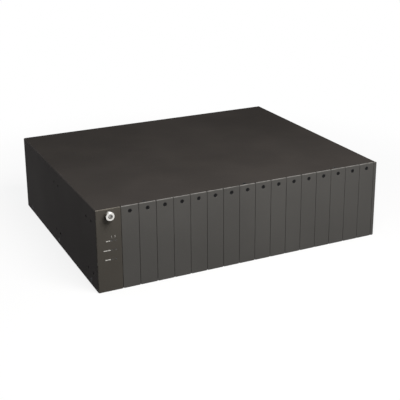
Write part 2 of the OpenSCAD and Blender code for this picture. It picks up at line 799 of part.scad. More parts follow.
module psu_case() color("#a6a8aa") difference() {
    union() {
        block([-psu_w/2, psu_y0, psu_edge], [psu_w/2, face_y0 + bite, psu_edge + psu_sheet]);
        for (side = [-1, 1]) translate([side*(psu_w/2 - psu_sheet/2), 0, 0])
            block([-psu_sheet/2, psu_y0, psu_edge],
                [psu_sheet/2, face_y0 + bite, psu_edge + psu_h - psu_sheet]);
        block([-psu_w/2, psu_y0, psu_edge], [psu_w/2, psu_y0 + psu_sheet, psu_edge + psu_h - psu_sheet]);
        upright(-psu_w/2 - psu_face_side, psu_w + psu_face_side + psu_face_lip, psu_edge - psu_face_rise,
            psu_h + 2*psu_face_rise, face_y0, psu_face_t, psu_face_corner_r);
        for (x = [-1, 1], y = [psu_y0 + psu_post_end, rear_in_y - psu_post_end])
            translate([x*(psu_w/2 - psu_post_end), y, psu_edge + psu_sheet - bite])
                cylinder(h = psu_board_lift + bite, r = psu_post_r);
    }
    psu_face_cuts();
    block([-psu_tab_w/2 - slide_gap, psu_y0 - overrun, psu_board_z - psu_window_rise],
        [psu_tab_w/2 + slide_gap, psu_y0 + psu_sheet + overrun, psu_board_z + board_t + psu_window_rise]);
}

module psu_lid() color("#a6a8aa") {
    top = psu_edge + psu_h;
    difference() {
        block([-psu_w/2, psu_y0, top - psu_sheet], [psu_w/2, face_y0, top]);
        for (i = [0 : lid_vent_rows - 1])
            translate([-lid_vent_w/2, psu_y0 + lid_vent_y0 + i*lid_vent_step, top - psu_sheet - overrun])
                cube([lid_vent_w, lid_vent_l, psu_sheet + 2*overrun]);
    }
    for (side = [-1, 1]) translate([side*(psu_w/2 - psu_sheet - fit_gap - psu_sheet/2), 0, 0])
        block([-psu_sheet/2, psu_y0 + 2*psu_sheet, top - lid_flange_h],
            [psu_sheet/2, face_y0 - psu_sheet, top - psu_sheet + bite]);
}

module psu_board() color("#1f5a36") {
    half = psu_w/2 - psu_board_end;
    top = psu_board_z + board_t;
    y0 = psu_y0 + psu_board_end;
    block([-half, y0, psu_board_z], [half, rear_in_y - psu_board_end, top]);
    block([-psu_tab_w/2, backplane_y + board_t + socket_d - tab_seat, psu_board_z],
        [psu_tab_w/2, y0 + bite, top]);
    translate([-transformer.x/2, y0 + transformer_y, top - bite]) cube(transformer);
    for (i = [-1, 0, 1]) translate([i*capacitor_step, y0 + capacitor_y, top - bite])
        cylinder(h = capacitor_h, r = capacitor_r);
    for (side = [-1, 1]) translate([side*(half - sink_end) - sink_t/2, y0 + sink_y, top - bite])
        cube([sink_t, sink_l, sink_h]);
}

// The power entry's outline: a rectangle with two corners cut off at the top
module inlet_outline() {
    w = inlet_w/2;
    h = inlet_h/2;
    polygon([[-w, -h], [w, -h], [w, h - inlet_chamfer], [w - inlet_chamfer, h],
        [inlet_chamfer - w, h], [-w, h - inlet_chamfer]]);
}

module psu_inlet() color("#1d1d1e") {
    y1 = face_y1 + entry_flange_t;
    inlet_z = psu_mid_z - inlet_drop;
    difference() {
        union() {
            upright(entry_x - entry_w/2, entry_w, psu_mid_z - entry_h/2, entry_h, face_y1, entry_flange_t,
                psu_face_corner_r);
            block([entry_x - entry_body_w/2, y1 - entry_body_d, psu_mid_z - entry_body_h/2],
                [entry_x + entry_body_w/2, y1 - entry_flange_t + bite, psu_mid_z + entry_body_h/2]);
        }
        translate([entry_x, y1 + overrun, inlet_z]) rotate([90, 0, 0])
            linear_extrude(inlet_deep + overrun) inlet_outline();
        block([entry_x - pocket_w/2, y1 - pocket_deep, rocker_z - pocket_h/2],
            [entry_x + pocket_w/2, y1 + overrun, rocker_z + pocket_h/2]);
        translate([entry_x, rocker_y, rocker_z - pocket_h/2 - rocker_pin_out])
            cylinder(h = pocket_h + 2*rocker_pin_out, r = rocker_pin_r + run_gap);
    }
    for (pin = [[-pin_step, -pin_shift], [0, pin_shift], [pin_step, -pin_shift]])
        translate([entry_x + pin[0], y1 - inlet_deep - bite, inlet_z + pin[1]])
            block([-pin_w/2, 0, -pin_h/2], [pin_w/2, pin_l, pin_h/2]);
}

// The rocker at rest leans to one side; its joint turns it to the other
module psu_rocker() color("#161616") translate([entry_x, rocker_y, rocker_z]) rotate([0, 0, -rocker_tilt]) {
    translate([0, 0, -rocker_h/2]) linear_extrude(rocker_h)
        polygon([[-rocker_half, rocker_edge], [0, rocker_mid], [rocker_half, rocker_edge],
            [rocker_half, 0], [rocker_root_half, -rocker_root], [-rocker_root_half, -rocker_root],
            [-rocker_half, 0]]);
    translate([0, 0, -pocket_h/2 - rocker_pin_l])
        cylinder(h = pocket_h + 2*rocker_pin_l, r = rocker_pin_r);
}

module psu_handle() color("#b9bcc0") {
    bar_y = face_y1 + handle_reach - handle_r;
    for (side = [-1, 1]) translate([handle_x, 0, psu_mid_z + side*handle_h/2]) {
        out_rear([0, face_y1, 0]) cylinder(h = bar_y - face_y1 - handle_bend_r, r = handle_r);
        out_rear([0, face_y1, 0]) cylinder(h = handle_foot_t, r = handle_foot_r);
        out_rear([0, face_y0, 0]) cylinder(h = psu_face_t + bite, r = handle_stud_r);
        translate([0, bar_y - handle_bend_r, -side*handle_bend_r]) rotate([side*90, 0, 90])
            rotate_extrude(angle = 90) translate([handle_bend_r, 0]) circle(handle_r);
    }
    translate([handle_x, bar_y, psu_mid_z - handle_h/2 + handle_bend_r])
        cylinder(h = handle_h - 2*handle_bend_r, r = handle_r);
}

module psu_thumbscrew() color("#c9ccd0")
    out_rear([psu_thumb_x, face_y1, psu_thumb_z]) thumbscrew(slide_gap);

// The folded sleeve that a power module slides in, on legs that stand on the tray
module psu_bay() color("#9a9c9e") {
    top = psu_edge + psu_h + slide_gap;
    for (side = [-1, 1]) translate([side*(sleeve_half - psu_sheet/2), 0, 0])
        block([-psu_sheet/2, sleeve_y0, sheet], [psu_sheet/2, rear_in_y, top + psu_sheet]);
    block([-sleeve_half, sleeve_y0, top], [sleeve_half, rear_in_y, top + psu_sheet]);
    block([-sleeve_half, sleeve_y0, psu_edge - slide_gap - psu_sheet],
        [sleeve_half, rear_in_y, psu_edge - slide_gap]);
}

// Fans

module at_fan_screws(side, y) {
    for (x = [-1, 1], z = [-1, 1])
        out_rear([side*fan_x + x*fan_screw_step/2, y, fan_z + z*fan_screw_step/2]) children();
}

// Drawn about its own axis, with z = 0 at the face that lies on the rear panel and air blown to -z
module fan_frame() color("#1e1e1f") difference() {
    union() {
        difference() {
            union() {
                for (z = [0, fan_d - fan_flange_t]) translate([-fan_size/2, -fan_size/2, z])
                    linear_extrude(fan_flange_t) rounded_rect(fan_size, fan_size, fan_corner_r);
                cylinder(h = fan_d, r = fan_bore_r + fan_wall);
            }
            translate([0, 0, -overrun]) cylinder(h = fan_d + 2*overrun, r = fan_bore_r);
        }
        cylinder(h = fan_hub_t, r = fan_hub_r);
        for (turn = [45 : 90 : 315]) rotate([0, 0, turn])
            translate([fan_hub_r - bite, -fan_strut_w/2, 0])
                cube([fan_bore_r + 2*bite - fan_hub_r, fan_strut_w, fan_hub_t]);
        cylinder(h = fan_hub_t + bearing_l, r = bearing_r);
    }
    for (x = [-1, 1], y = [-1, 1]) translate([x*fan_screw_step/2, y*fan_screw_step/2, -overrun])
        cylinder(h = fan_d + 2*overrun, r = fan_hole_r);
    translate([0, 0, fan_hub_t]) cylinder(h = bearing_l + overrun, r = shaft_r + run_gap);
}

// A blade is a strip of a thin shell whose axis runs outwards, leaned by the slope
module blade() {
    intersection() {
        difference() {
            cylinder(h = rotor_d - rotor_wall, r = rotor_r);
            translate([0, 0, -overrun]) cylinder(h = rotor_d + 2*overrun, r = rotor_hub_r - bite);
        }
        translate([0, 0, (rotor_d - rotor_wall)/2]) rotate([blade_slope, 0, 0])
            translate([0, 0, -blade_arc_r]) rotate([0, 90, 0]) difference() {
                cylinder(h = rotor_r + overrun, r = blade_arc_r + blade_t/2);
                translate([0, 0, -overrun])
                    cylinder(h = rotor_r + 3*overrun, r = blade_arc_r - blade_t/2);
            }
        translate([0, -rotor_r/2, 0]) cube([rotor_r + overrun, rotor_r, rotor_d]);
    }
}

module fan_rotor() color("#242425") translate([0, 0, rotor_back]) {
    difference() {
        cylinder(h = rotor_d, r = rotor_hub_r);
        translate([0, 0, -overrun])
            cylinder(h = rotor_d - rotor_wall + overrun, r = rotor_hub_r - rotor_wall);
    }
    translate([0, 0, fan_hub_t - rotor_back + rotor_wall])
        cylinder(h = rotor_d + rotor_back - fan_hub_t - 2*rotor_wall, r = shaft_r);
    for (i = [1 : blade_count]) rotate([0, 0, 360*i/blade_count]) blade();
}

module at_fan(side) { out_front([side*fan_x, rear_in_y, fan_z]) children(); }

module fan_guard() {
    reach = fan_screw_step/2*sqrt(2) - guard_loop_r;
    translate([0, 0, guard_wire_r]) {
        for (turn = [45, 135]) rotate([0, 0, turn]) translate([-reach, 0, 0]) rotate([0, 90, 0])
            cylinder(h = 2*reach, r = guard_wire_r);
        for (x = [-1, 1], y = [-1, 1]) translate([x*fan_screw_step/2, y*fan_screw_step/2, 0])
            rotate_extrude() translate([guard_loop_r, 0]) circle(guard_wire_r);
        translate([0, 0, 2*guard_wire_r - guard_sink]) for (i = [0 : guard_rings - 1])
            rotate_extrude() translate([guard_ring_r0 + i*guard_ring_step, 0]) circle(guard_wire_r);
    }
}

module fan_guards() color("#c4c7ca") for (side = [-1, 1]) out_rear([side*fan_x, body_d, fan_z]) fan_guard();

module fan_screws() color("#b9bcc0") for (side = [-1, 1])
    at_fan_screws(side, body_d + 2*guard_wire_r) difference() {
        union() {
            cylinder(h = fan_screw_head_t, r = fan_screw_head_r);
            translate([0, 0, -fan_screw_l]) cylinder(h = fan_screw_l + bite, r = fan_screw_r);
        }
        translate([0, 0, fan_screw_head_t]) cross_cut(cross_l + cross_w, cross_w, cross_deep);
    }

place() base_tray();
place() rear_panel();
place() top_cover();
place() front_top_rail();
place() front_bottom_rail();
place() front_edge_strip();
place() bay_divider();
place() card_guide_bottom();
place() card_guide_top();
place() backplane_bracket();
place() backplane_board();
place() slot_power_plugs();
place() backplane_sockets();
place() backplane_screws();
place() control_panel();
place() control_carrier();
place() led_board();
place() status_leds();
place() front_thumbscrew();
place() thumbscrew_ferrule();
for (i = [1 : slot_count]) place() slot_blank(i - 1);
place() blank_screws();
place() cover_screws();
for (n = [1, 2]) {
    place() at_psu(n) psu_case();
    place() at_psu(n) psu_lid();
    place() at_psu(n) psu_board();
    place() at_psu(n) psu_inlet();
    place() at_psu(n) psu_rocker();
    place() at_psu(n) psu_handle();
    place() at_psu(n) psu_thumbscrew();
    place() at_psu(n) psu_bay();
    place() at_fan(psu_side(n)) fan_frame();
    place() at_fan(psu_side(n)) fan_rotor();
}
place() fan_guards();
place() fan_screws();
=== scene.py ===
"""Looks of a media converter chassis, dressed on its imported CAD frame.

Lengths are in metres, in the axes of the frame: X to the right seen from the front, Y to the rear, Z up.
"""
import logging
import math
from dataclasses import dataclass, field
from enum import Enum
from typing import Iterable, Sequence

import bmesh
import bpy
from mathutils import Matrix, Quaternion, Vector
from mathutils.bvhtree import BVHTree


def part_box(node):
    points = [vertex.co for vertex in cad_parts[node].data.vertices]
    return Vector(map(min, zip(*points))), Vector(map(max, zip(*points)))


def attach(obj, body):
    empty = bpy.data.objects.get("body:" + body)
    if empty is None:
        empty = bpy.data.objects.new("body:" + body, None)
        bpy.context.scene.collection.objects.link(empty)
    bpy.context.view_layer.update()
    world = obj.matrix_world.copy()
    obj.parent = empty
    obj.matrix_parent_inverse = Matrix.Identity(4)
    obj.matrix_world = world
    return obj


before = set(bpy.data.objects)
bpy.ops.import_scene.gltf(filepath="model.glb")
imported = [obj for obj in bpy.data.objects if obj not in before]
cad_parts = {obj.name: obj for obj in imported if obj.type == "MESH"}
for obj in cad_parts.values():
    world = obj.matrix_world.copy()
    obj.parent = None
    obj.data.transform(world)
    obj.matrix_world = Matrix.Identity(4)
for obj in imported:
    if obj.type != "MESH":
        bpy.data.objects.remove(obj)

LOG = logging.getLogger("chassis")
Colour = tuple[float, float, float]
Point2 = tuple[float, float]
Point3 = tuple[float, float, float]
Face = Sequence[int]
Node = bpy.types.Node
Socket = bpy.types.NodeSocket

# Driving sizes of the chassis

MM = 0.001
BODY_W = 440.0 * MM
BODY_H = 117.0 * MM
FRONT_Y = -187.6 * MM
COVER_SETBACK = 2.5 * MM
PANEL_W = 35.0 * MM
SLOT_PITCH = 25.0 * MM
SLOT_COUNT = 16
BOARD_T = 1.6 * MM
PLATE_EDGE_R = 0.18 * MM
FIRST_SLOT_X = -BODY_W / 2 + PANEL_W

# Where most of a noise value lies
NOISE_BAND: Point2 = (0.3, 0.7)
# A pitch far wider than the chassis, for an edge that doesn't repeat
ONCE = 1.0
# Corners nearer than this are one corner
WELD_GAP = 0.001 * MM


def srgb(red: int, green: int, blue: int) -> Colour:
    """Turns a screen colour of 0 to 255 into linear light.

    Args:
        red: Red share, 0 to 255.
        green: Green share, 0 to 255.
        blue: Blue share, 0 to 255.

    Returns:
        The colour in linear light.
    """
    def linear(value: int) -> float:
        """Undoes the screen's curve for one channel."""
        share = value / 255
        return share / 12.92 if share <= 0.04045 else ((share + 0.055) / 1.055) ** 2.4

    return linear(red), linear(green), linear(blue)


def deeper(colour: Colour, share: float) -> Colour:
    """Returns the colour with every channel scaled by the share."""
    return colour[0] * share, colour[1] * share, colour[2] * share


def mm(*values: float) -> tuple[float, ...]:
    """Returns sizes given in millimetres in metres."""
    return tuple(value * MM for value in values)


class Slot(Enum):
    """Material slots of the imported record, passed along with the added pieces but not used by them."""

    POWDER = "powder_black"
    PLATE = "plate_black"
    ZINC = "zinc_steel"
    NICKEL = "nickel"
    BOARD = "board_green"
    SOCKET = "socket_black"


class Axis(Enum):
    """An axis of the frame, by the number of its coordinate."""

    X = 0
    Y = 1
    Z = 2


# Shader building


class Desk:
    """A node tree with short calls for adding and linking its nodes."""

    def __init__(self, tree: bpy.types.NodeTree) -> None:
        """Keeps the tree that the calls work on."""
        self.tree = tree

    @classmethod
    def cleared(cls, owner: bpy.types.Material | bpy.types.World) -> "Desk":
        """Empties the node tree of a material or a world.

        Args:
            owner: The material or world.

        Returns:
            A desk on the empty tree.
        """
        owner.use_nodes = True
        owner.node_tree.nodes.clear()
        return cls(owner.node_tree)

    def add(self, kind: str, **settings: object) -> Node:
        """Adds a node.

        Args:
            kind: Blender's type name of the node.
            settings: Properties of the node to set.

        Returns:
            The new node.
        """
        node = self.tree.nodes.new(kind)
        for name, value in settings.items():
            setattr(node, name, value)
        return node

    def link(self, source: Socket, target: Socket) -> None:
        """Links an output to an input."""
        self.tree.links.new(source, target)

    def feed(self, value: object, target: Socket) -> None:
        """Links a socket, or sets a plain number or colour, on an input.

        Args:
            value: The socket, number or colour.
            target: The input.
        """
        if isinstance(value, Socket):
            self.link(value, target)
        else:
            target.default_value = value

    def maths(self, operation: str, first: object, second: object = 0.0) -> Socket:
        """Adds a maths node.

        Args:
            operation: Blender's name of the operation.
            first: A socket or a number.
            second: A socket or a number.

        Returns:
            The node's output.
        """
        node = self.add("ShaderNodeMath", operation=operation)
        self.feed(first, node.inputs[0])
        self.feed(second, node.inputs[1])
        return node.outputs[0]

    def where(self) -> Socket:
        """Returns the place of a point, in metres in the frame's axes."""
        return self.add("ShaderNodeTexCoord").outputs["Object"]

    def split(self, vector: Socket) -> Sequence[Socket]:
        """Splits a vector into its parts.

        Args:
            vector: The vector's socket.

        Returns:
            X, Y and Z.
        """
        node = self.add("ShaderNodeSeparateXYZ")
        self.link(vector, node.inputs[0])
        return node.outputs

    def spread(self, value: object, low: object, high: object, to_low: float = 0.0,
               to_high: float = 1.0) -> Socket:
        """Adds a clamped map from one range to another.

        Args:
            value: The socket to map.
            low: Start of the range that comes in.
            high: End of the range that comes in.
            to_low: What the start becomes.
            to_high: What the end becomes.

        Returns:
            The mapped output.
        """
        node = self.add("ShaderNodeMapRange", interpolation_type="SMOOTHSTEP")
        for socket, item in zip(node.inputs, (value, low, high, to_low, to_high)):
            self.feed(item, socket)
        return node.outputs[0]

    def noise(self, where: Socket, scale: object, detail: float = 2.0, roughness: float = 0.5) -> Socket:
        """Adds a noise texture.

        Args:
            where: The coordinate socket.
            scale: Waves per metre, a number or a socket.
            detail: Octaves.
            roughness: Share of the finer octaves.

        Returns:
            The noise value.
        """
        node = self.add("ShaderNodeTexNoise")
        self.link(where, node.inputs["Vector"])
        self.feed(scale, node.inputs["Scale"])
        node.inputs["Detail"].default_value = detail
        node.inputs["Roughness"].default_value = roughness
        return node.outputs["Fac"]

    def blend(self, share: object, first: object, second: object) -> Socket:
        """Adds a colour mix.

        Args:
            share: How much of the second colour shows.
            first: A colour or a socket.
            second: A colour or a socket.

        Returns:
            The mixed colour.
        """
        node = self.add("ShaderNodeMix", data_type="RGBA")
        self.feed(share, node.inputs[0])
        for value, socket in ((first, node.inputs[6]), (second, node.inputs[7])):
            self.feed((*value, 1.0) if isinstance(value, tuple) else value, socket)
        return node.outputs[2]

    def mix(self, share: Socket, first: Socket, second: Socket) -> Socket:
        """Adds a shader mix.

        Args:
            share: How much of the second shader shows.
            first: A shader.
            second: A shader.

        Returns:
            The mixed shader.
        """
        node = self.add("ShaderNodeMixShader")
        for source, target in zip((share, first, second), node.inputs):
            self.link(source, target)
        return node.outputs[0]


class GroupDesk(Desk):
    """The inside of a node group, with what the group is given and what it makes."""

    def __init__(self, tree: bpy.types.NodeTree) -> None:
        """Adds the nodes at the two ends of the group.

        Args:
            tree: The group's tree.
        """
        super().__init__(tree)
        self.given = self.add("NodeGroupInput").outputs
        self.made = self.add("NodeGroupOutput").inputs


class GroupMaker:
    """Base of the shared effects: a shader node group that is built once."""

    name: str = ""
    inputs: tuple[tuple[str, float], ...] = ()
    outputs: tuple[str, ...] = ()

    @classmethod
    def tree(cls) -> bpy.types.NodeTree:
        """Makes the group's node tree at the first call.

        Returns:
            The tree.
        """
        found = bpy.data.node_groups.get(cls.name)
        if found:
            return found
        tree = bpy.data.node_groups.new(cls.name, "ShaderNodeTree")
        for label, value in cls.inputs:
            socket = tree.interface.new_socket(label, in_out="INPUT", socket_type="NodeSocketFloat")
            socket.default_value = value
        for label in cls.outputs:
            tree.interface.new_socket(label, in_out="OUTPUT", socket_type="NodeSocketFloat")
        cls.fill(GroupDesk(tree))
        return tree

    @classmethod
    def fill(cls, desk: GroupDesk) -> None:
        """Builds the inside of the group, which each effect does in its own way."""
        raise NotImplementedError

    @classmethod
    def place(cls, desk: Desk, **values: float) -> Node:
        """Places the group in a material.

        Args:
            desk: The material's tree.
            values: Values for named inputs, with _ for a space.

        Returns:
            The group node.
        """
        node = desk.add("ShaderNodeGroup")
        node.node_tree = cls.tree()
        for label, value in values.items():
            desk.feed(value, node.inputs[label.replace("_", " ")])
        return node


class FineGrain(GroupMaker):
    """The pebbled skin of powder coat and moulded plastic, with soft patches and bright specks."""

    name = "fine_grain"
    inputs = (("Grain Scale", 900.0), ("Patch Scale", 9.0))
    outputs = ("Height", "Tone", "Speck")
    fine_roughness = 0.6
    fine_height_share = 0.65
    broad_scale_share = 0.3
    patch_roughness = 0.55
    speck_scale_share = 0.55
    speck_band: Point2 = (0.72, 0.8)

    @classmethod
    def fill(cls, desk: GroupDesk) -> None:
        """Builds two grain sizes, the patches and the specks.

        Args:
            desk: The group's tree, with what it is given and what it makes.
        """
        where = desk.where()
        grain = desk.given["Grain Scale"]
        fine = desk.noise(where, grain, detail=2.0, roughness=cls.fine_roughness)
        broad = desk.noise(where, desk.maths("MULTIPLY", grain, cls.broad_scale_share), detail=1.0)
        fine_part = desk.maths("MULTIPLY", fine, cls.fine_height_share)
        broad_part = desk.maths("MULTIPLY", broad, 1.0 - cls.fine_height_share)
        patches = desk.noise(where, desk.given["Patch Scale"], detail=3.0, roughness=cls.patch_roughness)
        speck = desk.noise(where, desk.maths("MULTIPLY", grain, cls.speck_scale_share), detail=0.0)
        desk.link(desk.maths("ADD", fine_part, broad_part), desk.made["Height"])
        desk.link(desk.spread(patches, *NOISE_BAND), desk.made["Tone"])
        desk.link(desk.spread(speck, *cls.speck_band), desk.made["Speck"])


class Streaks(GroupMaker):
    """Fine lines left by rolling, brushing or turning, longer along the stretched directions."""

    name = "streaks"
    inputs = (("Line Scale", 1500.0), ("Stretch X", 1.0), ("Stretch Y", 1.0), ("Stretch Z", 1.0))
    outputs = ("Height", "Tone", "Scratch")
    line_roughness = 0.7
    broad_scale_share = 0.12
    scratch_scale_share = 0.5
    scratch_band: Point2 = (0.68, 0.78)

    @classmethod
    def fill(cls, desk: GroupDesk) -> None:
        """Builds the lines from noise that is stretched by direction.

        Args:
            desk: The group's tree, with what it is given and what it makes.
        """
        place = desk.split(desk.where())
        joined = desk.add("ShaderNodeCombineXYZ")
        for i, label in enumerate(("Stretch X", "Stretch Y", "Stretch Z")):
            desk.link(desk.maths("MULTIPLY", place[i], desk.given[label]), joined.inputs[i])
        where, scale = joined.outputs[0], desk.given["Line Scale"]
        lines = desk.noise(where, scale, detail=3.0, roughness=cls.line_roughness)
        broad = desk.noise(where, desk.maths("MULTIPLY", scale, cls.broad_scale_share), detail=2.0)
        scratch = desk.noise(where, desk.maths("MULTIPLY", scale, cls.scratch_scale_share), detail=0.0)
        desk.link(lines, desk.made["Height"])
        desk.link(desk.spread(broad, *NOISE_BAND), desk.made["Tone"])
        desk.link(desk.spread(scratch, *cls.scratch_band), desk.made["Scratch"])


class SettledDust(GroupMaker):
    """A thin veil of dust on what faces up."""

    name = "settled_dust"
    inputs = (("Amount", 0.3), ("Cloud Scale", 14.0))
    outputs = ("Mask",)
    cloud_roughness = 0.6
    cloud_band: Point2 = (0.35, 0.75)
    upward_band: Point2 = (0.5, 1.0)

    @classmethod
    def fill(cls, desk: GroupDesk) -> None:
        """Builds the veil from the surface's upward share and a cloud.

        Args:
            desk: The group's tree, with what it is given and what it makes.
        """
        normal = desk.split(desk.add("ShaderNodeNewGeometry").outputs["Normal"])
        noise = desk.noise(desk.where(), desk.given["Cloud Scale"], detail=5.0, roughness=cls.cloud_roughness)
        cloud = desk.spread(noise, *cls.cloud_band)
        upward = desk.spread(normal[2], *cls.upward_band)
        veil = desk.maths("MULTIPLY", desk.maths("MULTIPLY", upward, cloud), desk.given["Amount"])
        desk.link(veil, desk.made["Mask"])


class EdgeLightShade(GroupMaker):
    """A line of painted highlight or painted shade beside edges that repeat along one axis, such as the seams
    of a row of plates, broken up by noise.
    """

    name = "edge_light_shade"
    inputs = (("Place", 0.0), ("First", 0.0), ("Pitch", 1.0), ("Reach", 0.0006))
    outputs = ("Mask",)
    break_scale = 160.0
    break_roughness = 0.65
    break_band: Point2 = (0.3, 0.62)
    # Least share of the painted edge line where the noise breaks it up
    least_edge_light = 0.35

    @classmethod
    def fill(cls, desk: GroupDesk) -> None:
        """Builds the line from the distance to the nearest repeat, broken up by noise.

        Args:
            desk: The group's tree, with what it is given and what it makes.
        """
        place = desk.maths("SUBTRACT", desk.given["Place"], desk.given["First"])
        turns = desk.maths("DIVIDE", place, desk.given["Pitch"])
        off = desk.maths("ABSOLUTE", desk.maths("SUBTRACT", turns, desk.maths("ROUND", turns)))
        distance = desk.maths("MULTIPLY", off, desk.given["Pitch"])
        noise = desk.noise(desk.where(), cls.break_scale, detail=4.0, roughness=cls.break_roughness)
        broken = desk.spread(noise, *cls.break_band, cls.least_edge_light, 1.0)
        line = desk.spread(distance, 0.0, desk.given["Reach"], 1.0, 0.0)
        desk.link(desk.maths("MULTIPLY", line, broken), desk.made["Mask"])


class RoundPatch(GroupMaker):
    """A round patch about an axis along Y, such as the dished middle of a knob."""

    name = "round_patch"
    inputs = (("Middle X", 0.0), ("Middle Z", 0.0), ("Radius", 0.003))
    outputs = ("Mask",)
    rim_band: Point2 = (0.96, 1.04)

    @classmethod
    def fill(cls, desk: GroupDesk) -> None:
        """Builds the patch from the distance to the axis.

        Args:
            desk: The group's tree, with what it is given and what it makes.
        """
        place = desk.split(desk.where())
        squares = []
        for i, label in ((0, "Middle X"), (2, "Middle Z")):
            off = desk.maths("SUBTRACT", place[i], desk.given[label])
            squares.append(desk.maths("MULTIPLY", off, off))
        distance = desk.maths("SQRT", desk.maths("ADD", *squares))
        share = desk.maths("DIVIDE", distance, desk.given["Radius"])
        desk.link(desk.spread(share, *cls.rim_band, 1.0, 0.0), desk.made["Mask"])


class CopperPrint(GroupMaker):
    """Tracks and dots of a printed circuit, seen as slightly raised lines under the mask."""

    name = "copper_print"
    inputs = (("Track Scale", 210.0),)
    outputs = ("Tracks", "Dots")
    track_disorder = 0.55
    track_band: Point2 = (0.05, 0.1)
    dot_scale_share = 1.7
    dot_disorder = 0.8
    dot_band: Point2 = (0.09, 0.14)

    @classmethod
    def fill(cls, desk: GroupDesk) -> None:
        """Builds tracks from cell borders and dots from cell middles.

        Args:
            desk: The group's tree, with what it is given and what it makes.
        """
        where = desk.where()
        scale = desk.given["Track Scale"]
        dot_scale = desk.maths("MULTIPLY", scale, cls.dot_scale_share)
        for feature, disorder, cell_scale, band, label in (
                ("DISTANCE_TO_EDGE", cls.track_disorder, scale, cls.track_band, "Tracks"),
                ("F1", cls.dot_disorder, dot_scale, cls.dot_band, "Dots")):
            cells = desk.add("ShaderNodeTexVoronoi", feature=feature)
            cells.inputs["Randomness"].default_value = disorder
            desk.link(where, cells.inputs["Vector"])
            desk.link(cell_scale, cells.inputs["Scale"])
            desk.link(desk.spread(cells.outputs["Distance"], *band, 1.0, 0.0), desk.made[label])


# Finishes


@dataclass(frozen=True)
class Finish:
    """Base of the finishes: a named material built on a Principled shader."""

    name: str

    def material(self) -> bpy.types.Material:
        """Makes the material at the first call.

        Returns:
            The material.
        """
        found = bpy.data.materials.get(self.name)
        if found:
            return found
        made = bpy.data.materials.new(self.name)
        desk = Desk.cleared(made)
        shader = desk.add("ShaderNodeBsdfPrincipled")
        desk.link(shader.outputs[0], desk.add("ShaderNodeOutputMaterial").inputs["Surface"])
        self.dress(desk, shader)
        return made

    def dress(self, desk: Desk, shader: Node) -> None:
        """Feeds the shader's sockets, which each finish does in its own way."""
        raise NotImplementedError

    @staticmethod
    def shade(desk: Desk, share: Socket, colour: Colour, tones: Point2) -> Socket:
        """Returns a colour that goes from its first tone to its second with the share."""
        return desk.blend(share, deeper(colour, tones[0]), deeper(colour, tones[1]))

    @staticmethod
    def roughen(desk: Desk, shader: Node, value: Socket, ends: Point2, band: Point2 = (0.0, 1.0)) -> None:
        """Feeds a roughness that goes from its first end to its second as the value crosses the band."""
        desk.link(desk.spread(value, *band, *ends), shader.inputs["Roughness"])

    @staticmethod
    def relief(desk: Desk, shader: Node, height: Socket, depth: float) -> None:
        """Feeds a height into the shader's normal.

        Args:
            desk: The material's tree.
            shader: The Principled shader.
            height: Height of 0 to 1.
            depth: What a height of 1 stands for, in metres.
        """
        bump = desk.add("ShaderNodeBump")
        bump.inputs["Strength"].default_value = 1.0
        bump.inputs["Distance"].default_value = depth
        desk.link(height, bump.inputs["Height"])
        desk.link(bump.outputs[0], shader.inputs["Normal"])


@dataclass(frozen=True)
class GrainedFinish(Finish):
    """Base of the finishes whose skin is a fine grain with soft patches."""

    colour: Colour
    tones: Point2 = (0.86, 1.0)
    roughness: Point2 = (0.5, 0.66)
    gloss: float = 0.5
    grain_scale: float = 2600.0
    grain_depth: float = 0.01 * MM
    patch_scale: float = 300.0

    def dress(self, desk: Desk, shader: Node) -> None:
        """Feeds colour, gloss, roughness and relief of the skin.

        Args:
            desk: The material's tree.
            shader: The Principled shader.
        """
        grain = FineGrain.place(desk, Grain_Scale=self.grain_scale, Patch_Scale=self.patch_scale)
        colour = self.shade(desk, grain.outputs["Tone"], self.colour, self.tones)
        desk.link(self.overlay(desk, grain, colour), shader.inputs["Base Color"])
        shader.inputs["Specular IOR Level"].default_value = self.gloss
        self.roughen(desk, shader, grain.outputs["Height"], self.roughness, NOISE_BAND)
        self.relief(desk, shader, grain.outputs["Height"], self.grain_depth)

    def overlay(self, desk: Desk, grain: Node, colour: Socket) -> Socket:
        """Returns the colour with what lies on the skin and any painted light, which is nothing unless a
        finish adds it.
        """
        return colour

    @staticmethod
    def dusted(desk: Desk, colour: Socket, amount: float, scale: float, dust_colour: Colour) -> Socket:
        """Returns the colour under an amount of dust that lies in clouds of that scale."""
        veil = SettledDust.place(desk, Amount=amount, Cloud_Scale=scale)
        return desk.blend(veil.outputs["Mask"], colour, dust_colour)


@dataclass(frozen=True)
class EdgeLightLine:
    """Edges that repeat along an axis, with a line of painted highlight beside them for a tone above 1, or
    painted shade for a tone below 1.
    """

    axis: Axis
    first: float
    pitch: float = ONCE
    reach: float = 0.9 * MM
    # Above 1 paints a highlight beside the edge, below 1 paints shade
    tone: float = 3.2


